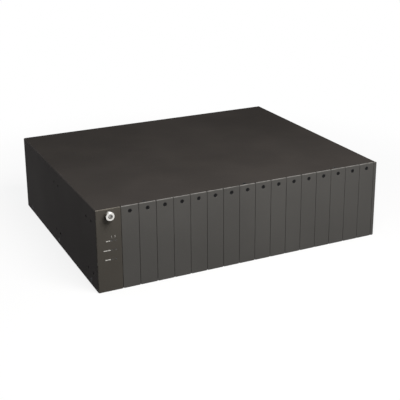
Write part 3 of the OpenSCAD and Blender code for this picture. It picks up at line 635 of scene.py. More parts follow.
@dataclass(frozen=True)
class PowderCoat(GrainedFinish):
    """Fine-textured powder coat on sheet metal."""

    tones: Point2 = (0.93, 1.07)
    roughness: Point2 = (0.76, 0.9)
    gloss: float = 0.03
    grain_scale: float = 1500.0
    grain_depth: float = 0.03 * MM
    patch_scale: float = 7.0
    speck_tone: float = 1.16
    # Lines of painted highlight and painted shade along edges, and how strongly they show
    edges: tuple[EdgeLightLine, ...] = ()
    edge_light_share: float = 0.8
    dust: float = 0.04
    dust_scale: float = 16.0
    dust_colour: Colour = srgb(104, 97, 88)

    def overlay(self, desk: Desk, grain: Node, colour: Socket) -> Socket:
        """Adds the specks, the painted highlights and shade along edges, and the dust.

        Args:
            desk: The material's tree.
            grain: The fine grain's node.
            colour: Colour of the bare coat.

        Returns:
            The coat's colour.
        """
        colour = desk.blend(grain.outputs["Speck"], colour, deeper(self.colour, self.speck_tone))
        place = desk.split(desk.where())
        # Each edge line paints a highlight or shade into the coat's colour
        for edge in self.edges:
            lit_or_shaded_edge = EdgeLightShade.place(desk, Place=place[edge.axis.value], First=edge.first,
                                Pitch=edge.pitch, Reach=edge.reach)
            share = desk.maths("MULTIPLY", lit_or_shaded_edge.outputs["Mask"], self.edge_light_share)
            colour = desk.blend(share, colour, deeper(self.colour, edge.tone))
        return self.dusted(desk, colour, self.dust, self.dust_scale, self.dust_colour)


@dataclass(frozen=True)
class PlatedMetal(Finish):
    """Bright plated metal with turning lines and a little tarnish."""

    colour: Colour
    roughness: Point2 = (0.16, 0.22)
    metal_share: float = 1.0
    stretch: Point3 = (0.35, 1.0, 0.35)
    line_scale: float = 2600.0
    line_depth: float = 0.004 * MM
    tarnish_scale: float = 90.0
    tarnish_tones: Point2 = (1.0, 0.9)

    def dress(self, desk: Desk, shader: Node) -> None:
        """Feeds colour, roughness and relief of the plating.

        Args:
            desk: The material's tree.
            shader: The Principled shader.
        """
        lines = Streaks.place(desk, Line_Scale=self.line_scale, Stretch_X=self.stretch[0],
                              Stretch_Y=self.stretch[1], Stretch_Z=self.stretch[2])
        tarnish = FineGrain.place(desk, Patch_Scale=self.tarnish_scale).outputs["Tone"]
        plate = self.shade(desk, tarnish, self.colour, self.tarnish_tones)
        colour, wear = self.wear_and_shade(desk, lines, tarnish, plate)
        desk.link(colour, shader.inputs["Base Color"])
        shader.inputs["Metallic"].default_value = self.metal_share
        self.roughen(desk, shader, wear, self.roughness)
        self.relief(desk, shader, lines.outputs["Height"], self.line_depth)

    def wear_and_shade(self, desk: Desk, lines: Node, tarnish: Socket, plate: Socket) -> tuple[Socket, Socket]:
        """Returns the colour, and the value that the roughness follows; a finish may add its own wear or
        painted shade.
        """
        return plate, tarnish


@dataclass(frozen=True)
class SheetSteel(PlatedMetal):
    """Zinc-plated sheet with rolling lines and scratches."""

    roughness: Point2 = (0.53, 0.61)
    metal_share: float = 0.5
    stretch: Point3 = (0.04, 0.04, 1.0)
    line_scale: float = 1600.0
    line_depth: float = 0.012 * MM
    tarnish_scale: float = 26.0
    tarnish_tones: Point2 = (0.94, 1.0)
    scratch_tone: float = 1.06

    def wear_and_shade(self, desk: Desk, lines: Node, tarnish: Socket, plate: Socket) -> tuple[Socket, Socket]:
        """Returns the colour with its scratches, and the tone of the rolling lines."""
        scratched = desk.blend(lines.outputs["Scratch"], plate, deeper(self.colour, self.scratch_tone))
        return scratched, lines.outputs["Tone"]


@dataclass(frozen=True)
class TurnedKnob(PlatedMetal):
    """Nickel-plated knob whose dished middle is rough and has painted shade, less dark on the screw head in
    its middle.
    """

    colour: Colour = (0.74, 0.73, 0.7)
    roughness: Point2 = (0.2, 0.5)
    line_depth: float = 0.006 * MM
    tarnish_scale: float = 240.0
    tarnish_tones: Point2 = (1.0, 0.93)
    middle_x: float = 0.0
    middle_z: float = 0.0
    dish_r: float = 3.1 * MM
    # Painted shade in the dish and on the screw head, as shares of the plating's colour
    dish_shade_share: float = 0.16
    core_r: float = 1.9 * MM
    core_shade_share: float = 0.6

    def wear_and_shade(self, desk: Desk, lines: Node, tarnish: Socket, plate: Socket) -> tuple[Socket, Socket]:
        """Lays the painted shade of the dish, less dark on the screw head, over the plating.

        Args:
            desk: The material's tree.
            lines: Node of the turning lines, which is not used.
            tarnish: Share of the tarnish, which is not used.
            plate: Colour of the plating.

        Returns:
            The colour, and the dish, where the knob is rough.
        """
        patches = [RoundPatch.place(desk, Middle_X=self.middle_x, Middle_Z=self.middle_z, Radius=radius)
                   for radius in (self.dish_r, self.core_r)]
        dish, core = [patch.outputs["Mask"] for patch in patches]
        # Painted shade for the recess, less dark on the screw head
        painted_dish_shade = self.shade(desk, core, self.colour, (self.dish_shade_share, self.core_shade_share))
        return desk.blend(dish, plate, painted_dish_shade), dish


@dataclass(frozen=True)
class BlackOxide(Finish):
    """Blackened steel of small screws, with lighter rubbed spots."""

    colour: Colour
    gloss: float = 0.12
    spot_tones: Point2 = (1.0, 2.0)
    roughness: Point2 = (0.5, 0.66)
    grain_scale: float = 2400.0
    grain_depth: float = 0.01 * MM
    patch_scale: float = 260.0

    def dress(self, desk: Desk, shader: Node) -> None:
        """Feeds colour, roughness and relief of the blackened steel.

        Args:
            desk: The material's tree.
            shader: The Principled shader.
        """
        grain = FineGrain.place(desk, Grain_Scale=self.grain_scale, Patch_Scale=self.patch_scale)
        colour = self.shade(desk, grain.outputs["Speck"], self.colour, self.spot_tones)
        desk.link(colour, shader.inputs["Base Color"])
        shader.inputs["Specular IOR Level"].default_value = self.gloss
        self.roughen(desk, shader, grain.outputs["Tone"], self.roughness)
        self.relief(desk, shader, grain.outputs["Height"], self.grain_depth)


@dataclass(frozen=True)
class MouldedPlastic(GrainedFinish):
    """Moulded plastic with a spark-eroded grain."""

    tones: Point2 = (0.9, 1.15)
    roughness: Point2 = (0.37, 0.5)
    gloss: float = 0.4
    grain_scale: float = 1900.0
    grain_depth: float = 0.02 * MM
    patch_scale: float = 30.0
    dust: float = 0.12
    dust_scale: float = 60.0
    dust_colour: Colour = srgb(112, 106, 98)

    def overlay(self, desk: Desk, grain: Node, colour: Socket) -> Socket:
        """Returns the colour with dust on it."""
        return self.dusted(desk, colour, self.dust, self.dust_scale, self.dust_colour)


@dataclass(frozen=True)
class PrintedInk(GrainedFinish):
    """Screen-printed ink, a little uneven."""


@dataclass(frozen=True)
class LampLens(GrainedFinish):
    """Clouded lens of an unlit lamp."""

    tones: Point2 = (0.8, 1.0)
    roughness: Point2 = (0.12, 0.24)
    grain_scale: float = 1500.0
    grain_depth: float = 0.004 * MM
    patch_scale: float = 700.0
    coat: float = 0.15
    glow_share: float = 0.15
    glow_reach: float = 0.5 * MM

    def dress(self, desk: Desk, shader: Node) -> None:
        """Feeds the skin, the clear coat and the light inside the lens.

        Args:
            desk: The material's tree.
            shader: The Principled shader.
        """
        super().dress(desk, shader)
        shader.inputs["Coat Weight"].default_value = self.coat
        shader.inputs["Subsurface Weight"].default_value = self.glow_share
        shader.inputs["Subsurface Radius"].default_value = (self.glow_reach,) * 3


@dataclass(frozen=True)
class SolderMask(Finish):
    """Green solder mask over copper tracks."""

    colour: Colour
    track_colour: Colour
    dot_colour: Colour = srgb(176, 176, 166)
    grain_scale: float = 800.0
    patch_scale: float = 40.0
    patch_tones: Point2 = (0.85, 1.0)
    roughness: Point2 = (0.24, 0.36)
    gloss: float = 0.5
    track_height: float = 0.035 * MM

    def dress(self, desk: Desk, shader: Node) -> None:
        """Feeds colour, roughness and relief of the board.

        Args:
            desk: The material's tree.
            shader: The Principled shader.
        """
        copper = CopperPrint.place(desk)
        grain = FineGrain.place(desk, Grain_Scale=self.grain_scale, Patch_Scale=self.patch_scale)
        colour = self.shade(desk, grain.outputs["Tone"], self.colour, self.patch_tones)
        colour = desk.blend(copper.outputs["Tracks"], colour, self.track_colour)
        colour = desk.blend(copper.outputs["Dots"], colour, self.dot_colour)
        desk.link(colour, shader.inputs["Base Color"])
        shader.inputs["Specular IOR Level"].default_value = self.gloss
        self.roughen(desk, shader, grain.outputs["Height"], self.roughness, NOISE_BAND)
        self.relief(desk, shader, copper.outputs["Tracks"], self.track_height)


# Studio


@dataclass
class Lamp:
    """A square soft light aimed at the chassis."""

    name: str
    place: Point3
    aim: Point3
    side: float
    power: float
    colour: Colour = (1.0, 1.0, 1.0)

    def build(self) -> None:
        """Makes the light."""
        data = bpy.data.lights.new(self.name, "AREA")
        data.shape, data.size = "SQUARE", self.side
        data.energy, data.color = self.power, self.colour
        lamp = bpy.data.objects.new(self.name, data)
        lamp.location, lamp.visible_camera = self.place, False
        lamp.rotation_mode = "QUATERNION"
        lamp.rotation_quaternion = (Vector(self.aim) - Vector(self.place)).to_track_quat("-Z", "Y")
        bpy.context.scene.collection.objects.link(lamp)


@dataclass
class Studio:
    """Camera, floor, world and lamps."""

    camera_place: Point3 = (-0.54968, -1.19793, 0.5406)
    camera_turn: tuple[float, float, float, float] = (0.7854915, 0.5790557, -0.1259401, -0.1784281)
    focal_length: float = 79.408
    sensor_w: float = 36.0
    shift: Point2 = (0.01169, -0.15)
    floor_half: float = 14.0
    floor_drop: float = 0.4 * MM
    floor_bounce: float = 0.1
    floor_shown: float = 0.93
    # Between these distances from the middle the floor's share of white goes from one end to the other
    floor_fade: Point2 = (0.3, 0.7)
    floor_white: Point2 = (0.84, 1.0)
    ambient: float = 0.22
    lamps: list[Lamp] = field(default_factory=lambda: [
        Lamp("key_front", (1.1, -2.0, 0.35), (0.0, -0.15, 0.06), 0.7, 8.0),
        Lamp("over_front", (0.03, -0.62, 0.75), (0.0, -0.1, 0.08), 0.5, 9.0, (1.0, 0.975, 0.95)),
        Lamp("fill_left", (-1.4, 0.7, 0.2), (-0.2, 0.0, 0.07), 0.8, 12.5, (0.88, 0.95, 1.04)),
        Lamp("rear_fill", (-1.2, 2.5, 0.3), (0.0, 0.15, 0.05), 1.4, 40.0),
    ])

    def build(self) -> None:
        """Makes everything that isn't the object."""
        self.make_camera()
        self.make_world()
        self.make_floor()
        for lamp in self.lamps:
            lamp.build()
        bpy.context.scene.view_settings.view_transform = "Standard"
        LOG.info("studio: camera, floor, world and %d lamps", len(self.lamps))

    def make_camera(self) -> None:
        """Makes the camera at the photograph's viewing angle."""
        data = bpy.data.cameras.new("camera")
        data.sensor_width, data.lens = self.sensor_w, self.focal_length
        data.shift_x, data.shift_y = self.shift
        camera = bpy.data.objects.new("camera", data)
        camera.rotation_mode = "QUATERNION"
        camera.location, camera.rotation_quaternion = self.camera_place, Quaternion(self.camera_turn)
        bpy.context.scene.collection.objects.link(camera)
        bpy.context.scene.camera = camera

    def make_world(self) -> None:
        """Makes a world that shows white and lights the object softly."""
        world = bpy.data.worlds.new("studio")
        bpy.context.scene.world = world
        desk = Desk.cleared(world)
        soft, white = desk.add("ShaderNodeBackground"), desk.add("ShaderNodeBackground")
        for light, strength in ((soft, self.ambient), (white, 1.0)):
            light.inputs["Color"].default_value = (1.0, 1.0, 1.0, 1.0)
            light.inputs["Strength"].default_value = strength
        mixed = desk.mix(self.shown_white(desk), soft.outputs[0], white.outputs[0])
        desk.link(mixed, desk.add("ShaderNodeOutputWorld").inputs["Surface"])

    @staticmethod
    def shown_white(desk: Desk) -> Socket:
        """Tells the rays that see the surroundings as white.

        Args:
            desk: The tree that needs it.

        Returns:
            1 for rays from the camera, from gloss and through glass.
        """
        path = desk.add("ShaderNodeLightPath").outputs
        seen = desk.maths("MAXIMUM", path["Is Camera Ray"], path["Is Glossy Ray"])
        return desk.maths("MAXIMUM", seen, path["Is Transmission Ray"])

    def make_floor(self) -> None:
        """Makes a pale floor that keeps the object's shadow and fades to white."""
        made = bpy.data.materials.new("pale_floor")
        desk = Desk.cleared(made)
        matt, white = desk.add("ShaderNodeBsdfDiffuse"), desk.add("ShaderNodeEmission")
        seen = self.shown_white(desk)
        bounce, shown = (self.floor_bounce,) * 3, (self.floor_shown,) * 3
        desk.link(desk.blend(seen, bounce, shown), matt.inputs["Color"])
        white.inputs["Strength"].default_value = 1.0
        distance = desk.add("ShaderNodeVectorMath", operation="LENGTH")
        desk.link(desk.where(), distance.inputs[0])
        fade = desk.spread(distance.outputs["Value"], *self.floor_fade, *self.floor_white)
        top = desk.mix(desk.maths("MULTIPLY", fade, seen), matt.outputs[0], white.outputs[0])
        below = desk.add("ShaderNodeNewGeometry").outputs["Backfacing"]
        both = desk.mix(below, top, desk.add("ShaderNodeBsdfTransparent").outputs[0])
        desk.link(both, desk.add("ShaderNodeOutputMaterial").inputs["Surface"])
        half = self.floor_half
        square = ((-half, -half), (half, -half), (half, half), (-half, half))
        corners = [(x, y, -self.floor_drop) for x, y in square]
        mesh = bpy.data.meshes.new("floor")
        mesh.from_pydata(corners, [], [(0, 1, 2, 3)])
        floor = bpy.data.objects.new("floor", mesh)
        mesh.materials.append(made)
        bpy.context.scene.collection.objects.link(floor)


# Shaping


class Facing(Enum):
    """The side of the chassis that a shape's own Z points out of; its own Y points up."""

    FRONT = 0
    RIGHT = 90
    REAR = 180
    LEFT = 270

    def at(self, x: float, y: float, z: float) -> Matrix:
        """Returns the placing for a shape whose foot stands at that point."""
        turned = Matrix.Rotation(math.radians(self.value), 4, "Z") @ Matrix.Rotation(math.pi / 2, 4, "X")
        return Matrix.Translation((x, y, z)) @ turned


def standing(x: float, y: float, z: float) -> Matrix:
    """Returns the placing for a shape that stands upright on that point."""
    return Matrix.Translation((x, y, z))


class Shape:
    """A mesh under construction, in metres and in the axes of the frame."""

    # Keeps the sharp corner of a stroke from being drawn out far
    least_corner_share = 0.5

    def __init__(self) -> None:
        """Starts an empty mesh."""
        self.mesh = bmesh.new()

    def hull(self, place: Matrix, points: Iterable[Point3], faces: Iterable[Face]) -> None:
        """Adds points and the faces between them.

        Args:
            place: Where the shape's own axes stand.
            points: Corners in the shape's own axes.
            faces: Corner numbers of each face.
        """
        corners = [self.mesh.verts.new(place @ Vector(point)) for point in points]
        for face in faces:
            self.mesh.faces.new([corners[i] for i in face])

    def block(self, place: Matrix, size: Point3, edge: float, steps: int = 2) -> None:
        """Adds a block with rounded edges that stands on its own origin.

        Args:
            place: Where the shape's own axes stand.
            size: Width, height and thickness.
            edge: Radius of the edges.
            steps: Segments of a rounded edge.
        """
        made = bmesh.ops.create_cube(self.mesh, size=1.0)["verts"]
        grown = place @ Matrix.Translation((0.0, 0.0, size[2] / 2)) @ Matrix.Diagonal((*size, 1.0))
        bmesh.ops.transform(self.mesh, matrix=grown, verts=made)
        edges = list({edge_of for corner in made for edge_of in corner.link_edges})
        bmesh.ops.bevel(self.mesh, geom=edges, offset=edge, segments=steps, profile=0.5, affect="EDGES",
                        clamp_overlap=True)

    def turned(self, place: Matrix, profile: Sequence[Point2], sides: int = 24, closed: bool = False) -> None:
        """Turns a profile about the shape's own Z.

        Args:
            place: Where the shape's own axes stand.
            profile: Radius and height of each ring; a radius of 0 is a point.
            sides: Corners of a ring.
            closed: True to join the last ring to the first.
        """
        rings = []
        for radius, height in profile:
            angles = [2 * math.pi * i / sides for i in range(sides if radius else 1)]
            points = [Vector((radius * math.cos(a), radius * math.sin(a), height)) for a in angles]
            rings.append([self.mesh.verts.new(place @ point) for point in points])
        for low, high in zip(rings, rings[1:] + (rings[:1] if closed else [])):
            for i in range(sides):
                j = (i + 1) % sides
                corners = [low[i % len(low)], low[j % len(low)], high[j % len(high)], high[i % len(high)]]
                self.mesh.faces.new(list(dict.fromkeys(corners)))

    def pipe(self, path: Sequence[Vector], radius: float, sides: int = 10) -> None:
        """Adds a round bar with closed ends along a path.

        Args:
            path: Middle points, in the frame's axes.
            radius: Radius of the bar.
            sides: Corners round it.
        """
        rings, across = [], None
        for i, point in enumerate(path):
            along = (path[min(i + 1, len(path) - 1)] - path[max(i - 1, 0)]).normalized()
            across = along.orthogonal() if across is None else across - along * across.dot(along)
            across = across.normalized()
            other = along.cross(across)
            turns = [2 * math.pi * k / sides for k in range(sides)]
            rings.append([self.mesh.verts.new(point + radius * (across * math.cos(a) + other * math.sin(a)))
                          for a in turns])
        for low, high in zip(rings, rings[1:]):
            for k in range(sides):
                self.mesh.faces.new([low[k], low[(k + 1) % sides], high[(k + 1) % sides], high[k]])
        self.mesh.faces.new(rings[0])
        self.mesh.faces.new(rings[-1])

    def stroke(self, place: Matrix, path: Sequence[Point2], width: float, thick: float) -> None:
        """Adds a flat raised stroke of even width along a path.

        Args:
            place: Where the shape's own axes stand.
            path: Points of the stroke's middle in the shape's own plane.
            width: Width of the stroke.
            thick: How far it stands proud.
        """
        count = len(path)
        left, right = [], []
        for i, (x, y) in enumerate(path):
            before, after = path[max(i - 1, 0)], path[min(i + 1, count - 1)]
            ways = [Vector((b[0] - a[0], b[1] - a[1])).normalized()
                    for a, b in ((before, (x, y)), ((x, y), after)) if a != b]
            normals = [Vector((-way.y, way.x)) for way in ways]
            middle = sum(normals, Vector((0.0, 0.0))).normalized()
            reach = width / 2 / max(middle.dot(normals[0]), self.least_corner_share)
            left.append((x + middle.x * reach, y + middle.y * reach))
            right.append((x - middle.x * reach, y - middle.y * reach))
        points = [(u, v, w) for w in (0.0, thick) for u, v in left + right]
        low, high = 0, 2 * count
        faces = [(low, low + count, high + count, high),
                 (low + count - 1, high + count - 1, high + 2 * count - 1, low + 2 * count - 1)]
        for i in range(count - 1):
            faces += [(high + i, high + i + 1, high + count + i + 1, high + count + i),
                      (low + i, low + count + i, low + count + i + 1, low + i + 1),
                      (low + i, low + i + 1, high + i + 1, high + i),
                      (low + count + i, high + count + i, high + count + i + 1, low + count + i + 1)]
        self.hull(place, points, faces)

    def piece(self, name: str, body: str, finish: Finish, slot: Slot, smooth: float = 35.0) -> None:
        """Ends the mesh and makes it a piece that rides on a body.

        Args:
            name: Name of the piece.
            body: The body it rides on.
            finish: Its finish.
            slot: The record's material slot, which is not used.
            smooth: Edges flatter than this many degrees are shaded smooth.
        """
        bmesh.ops.recalc_face_normals(self.mesh, faces=self.mesh.faces)
        data = bpy.data.meshes.new(name)
        self.mesh.to_mesh(data)
        self.mesh.free()
        data.polygons.foreach_set("use_smooth", [True] * len(data.polygons))
        data.set_sharp_from_angle(angle=math.radians(smooth))
        data.materials.append(finish.material())
        made = bpy.data.objects.new(name, data)
        bpy.context.scene.collection.objects.link(made)
        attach(made, body)
        LOG.info("piece %s on %s, %d faces", name, body, len(data.polygons))


def arc(middle: Point2, radius: float, start: float, end: float, steps: int = 10) -> list[Point2]:
    """Returns the points of an arc from one angle to another, in degrees, cut into equal steps."""
    angles = [math.radians(start + (end - start) * i / steps) for i in range(steps + 1)]
    return [(middle[0] + radius * math.cos(a), middle[1] + radius * math.sin(a)) for a in angles]


def middle_of(node: str) -> Point3:
    """Returns the middle of a CAD node's box."""
    return tuple((low + high) / 2 for low, high in zip(*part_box(node)))


def dress(node: str, finish: Finish) -> bpy.types.Object:
    """Gives a CAD node its finish.

    Args:
        node: The node's name.
        finish: The finish.

    Returns:
        The node's object.
    """
    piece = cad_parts[node]
    piece.data.materials.clear()
    piece.data.materials.append(finish.material())
    LOG.info("node %s in %s", node, finish.name)
    return piece


def dress_each(finish: Finish, *nodes: str) -> None:
    """Gives several CAD nodes the same finish."""
    for node in nodes:
        dress(node, finish)


def dress_knob(node: str, finish_name: str) -> None:
    """Gives a captive screw's knob a finish that is centred on it."""
    middle = middle_of(node)
    dress(node, TurnedKnob(finish_name, middle_x=middle[0], middle_z=middle[2]))


def soften(piece: bpy.types.Object, width: float, segments: int = 2, angle: float = 40.0) -> None:
    """Rounds a piece's sharp edges with modifiers, and leaves its mesh alone.

    Args:
        piece: The object.
        width: Width of the rounding.
        segments: Steps of the rounding.
        angle: Least angle of an edge that is rounded, in degrees.
    """
    weld = piece.modifiers.new("weld", "WELD")
    weld.merge_threshold = WELD_GAP
    bevel = piece.modifiers.new("bevel", "BEVEL")
    bevel.width, bevel.segments = width, segments
    bevel.limit_method, bevel.angle_limit = "ANGLE", math.radians(angle)
    bevel.use_clamp_overlap = True


# Finishes of this chassis

# The cover, plates and panel share one powder coat; their colours differ as painted light, the plates and
# panel lighter for the front's brighter light and the cover darker for its dimmer top and sides
COVER = PowderCoat("cover_powder", srgb(58, 55, 53), gloss=0.0, edges=(
    # Painted shade along the cover's front edge, for the shadow in its seam to the plates and panel
    EdgeLightLine(Axis.Y, FRONT_Y + COVER_SETBACK, reach=0.8 * MM, tone=0.35),))
TRAY = PowderCoat("tray_powder", srgb(50, 48, 46))
PLATES = PowderCoat("plate_powder", srgb(81, 80, 78), edges=(
    # Painted highlight along the plates' top edges and painted shade in the seams between plates
    EdgeLightLine(Axis.Z, BODY_H), EdgeLightLine(Axis.X, FIRST_SLOT_X, SLOT_PITCH, 0.45 * MM, 0.5)))
PANEL = PowderCoat("panel_powder", srgb(75, 72, 67), edges=(
    # Painted highlight along the panel's top edge and painted shade on its left edge, for the shadow in its
    # seam to the cover
    EdgeLightLine(Axis.Z, BODY_H), EdgeLightLine(Axis.X, -BODY_W / 2, reach=1.0 * MM, tone=0.15)))
REAR = PowderCoat("rear_powder", srgb(58, 55, 52))
ZINC = SheetSteel("zinc_sheet", (0.33, 0.335, 0.34))
LID = SheetSteel("zinc_lid", (0.28, 0.285, 0.29), (0.61, 0.69), metal_share=0.3, stretch=(1.0, 0.04, 1.0))
NICKEL = PlatedMetal("nickel_plate", (0.72, 0.71, 0.68))
ROD = PlatedMetal("handle_plate", (0.56, 0.56, 0.55), (0.3, 0.36), line_depth=0.0008 * MM)
GOLD = PlatedMetal("contact_gold", (0.83, 0.6, 0.26), (0.24, 0.3))
TIN = PlatedMetal("tinned_leads", (0.62, 0.62, 0.6), (0.3, 0.36))
FOIL = PlatedMetal("hub_foil", (0.5, 0.5, 0.49), (0.46, 0.52), line_scale=1500.0, line_depth=0.001 * MM)
SCREW = BlackOxide("black_oxide", srgb(24, 24, 25))
SOCKET = MouldedPlastic("socket_plastic", srgb(30, 30, 31))
CHIP = MouldedPlastic("chip_plastic", srgb(36, 36, 38), roughness=(0.45, 0.58), grain_scale=3200.0)
SLEEVE = MouldedPlastic("capacitor_sleeve", srgb(38, 40, 58), roughness=(0.25, 0.38))
TAPE = MouldedPlastic("winding_tape", srgb(178, 150, 62), roughness=(0.31, 0.44))
FAN = MouldedPlastic("fan_plastic", srgb(34, 34, 35))
BOARD = SolderMask("board_mask", srgb(22, 86, 52), srgb(38, 118, 74))
LENS = LampLens("clouded_lens", srgb(58, 56, 52))
PANEL_INK = PrintedInk("panel_ink", srgb(196, 194, 190))
ROCKER_INK = PrintedInk("rocker_ink", srgb(226, 225, 220))


# Sub-assemblies


@dataclass
class Body:
    """The cover, the tray, the rear sheet with its fan guards, and the screws that hold them."""

    ear_hole_r: float = 2.0 * MM
    ear_hole_y: tuple[float, ...] = mm(20.0, 40.0, 168.0, 188.0)
    ear_hole_rise: float = 75.0 * MM
    thread_pitch: float = 0.7 * MM
    thread_deep: float = 0.28 * MM
    thread_l: float = 2.8 * MM
    thread_start: float = 0.4 * MM
    flank_share: float = 0.45
    turn_steps: int = 20

    def build(self) -> None:
        """Dresses the sheets, guards and screws, and cuts the threads of the ear holes."""
        dress("top_cover", COVER)
        dress("base_tray", TRAY)
        dress("rear_panel", REAR)
        dress("fan_guards", NICKEL)
        dress_each(SCREW, "cover_screws", "fan_screws")
        self.cut_threads()

    def cut_threads(self) -> None:
        """Builds the helical ridge inside each ear hole."""
        shape = Shape()
        for facing, side in ((Facing.LEFT, -1), (Facing.RIGHT, 1)):
            for y in self.ear_hole_y:
                for rise in (-1, 1):
                    z = BODY_H / 2 + rise * self.ear_hole_rise / 2
                    self.ridge(shape, facing.at(side * BODY_W / 2, FRONT_Y + y, z))
        shape.piece("ear_hole_threads", "chassis", SCREW, Slot.POWDER, smooth=20.0)

    def ridge(self, shape: Shape, place: Matrix) -> None:
        """Adds one ridge of three-cornered section, wound inward from the sheet's face.

        Args:
            shape: The mesh that takes it.
            place: Placing of the hole, with Z out of the sheet.
        """
        steps = int(self.turn_steps * self.thread_l / self.thread_pitch)
        flank = self.flank_share * self.thread_pitch
        points: list[Point3] = []
        for i in range(steps + 1):
            angle = 2 * math.pi * i / self.turn_steps
            z = -self.thread_start - self.thread_pitch * i / self.turn_steps
            for inward, shift in ((0.0, flank), (self.thread_deep, 0.0), (0.0, -flank)):
                radius = self.ear_hole_r - inward
                points.append((radius * math.cos(angle), radius * math.sin(angle), z + shift))
        faces: list[Face] = [(0, 1, 2), (3 * steps + 2, 3 * steps + 1, 3 * steps)]
        for i in range(steps):
            for k in range(3):
                low, high = 3 * i + k, 3 * i + (k + 1) % 3
                faces.append((low, high, high + 3, low + 3))
        shape.hull(place, points, faces)


@dataclass
class FrontPlates:
    """The blank plates, the edge strip and their screws."""

    count: int = SLOT_COUNT
    edge_r: float = PLATE_EDGE_R

    def build(self) -> None:
        """Dresses the plates and takes the sharpness off their edges."""
        for name in [f"slot_blank_{i + 1:02d}" for i in range(self.count)] + ["front_edge_strip"]:
            soften(dress(name, PLATES), self.edge_r)
        dress("blank_screws", SCREW)


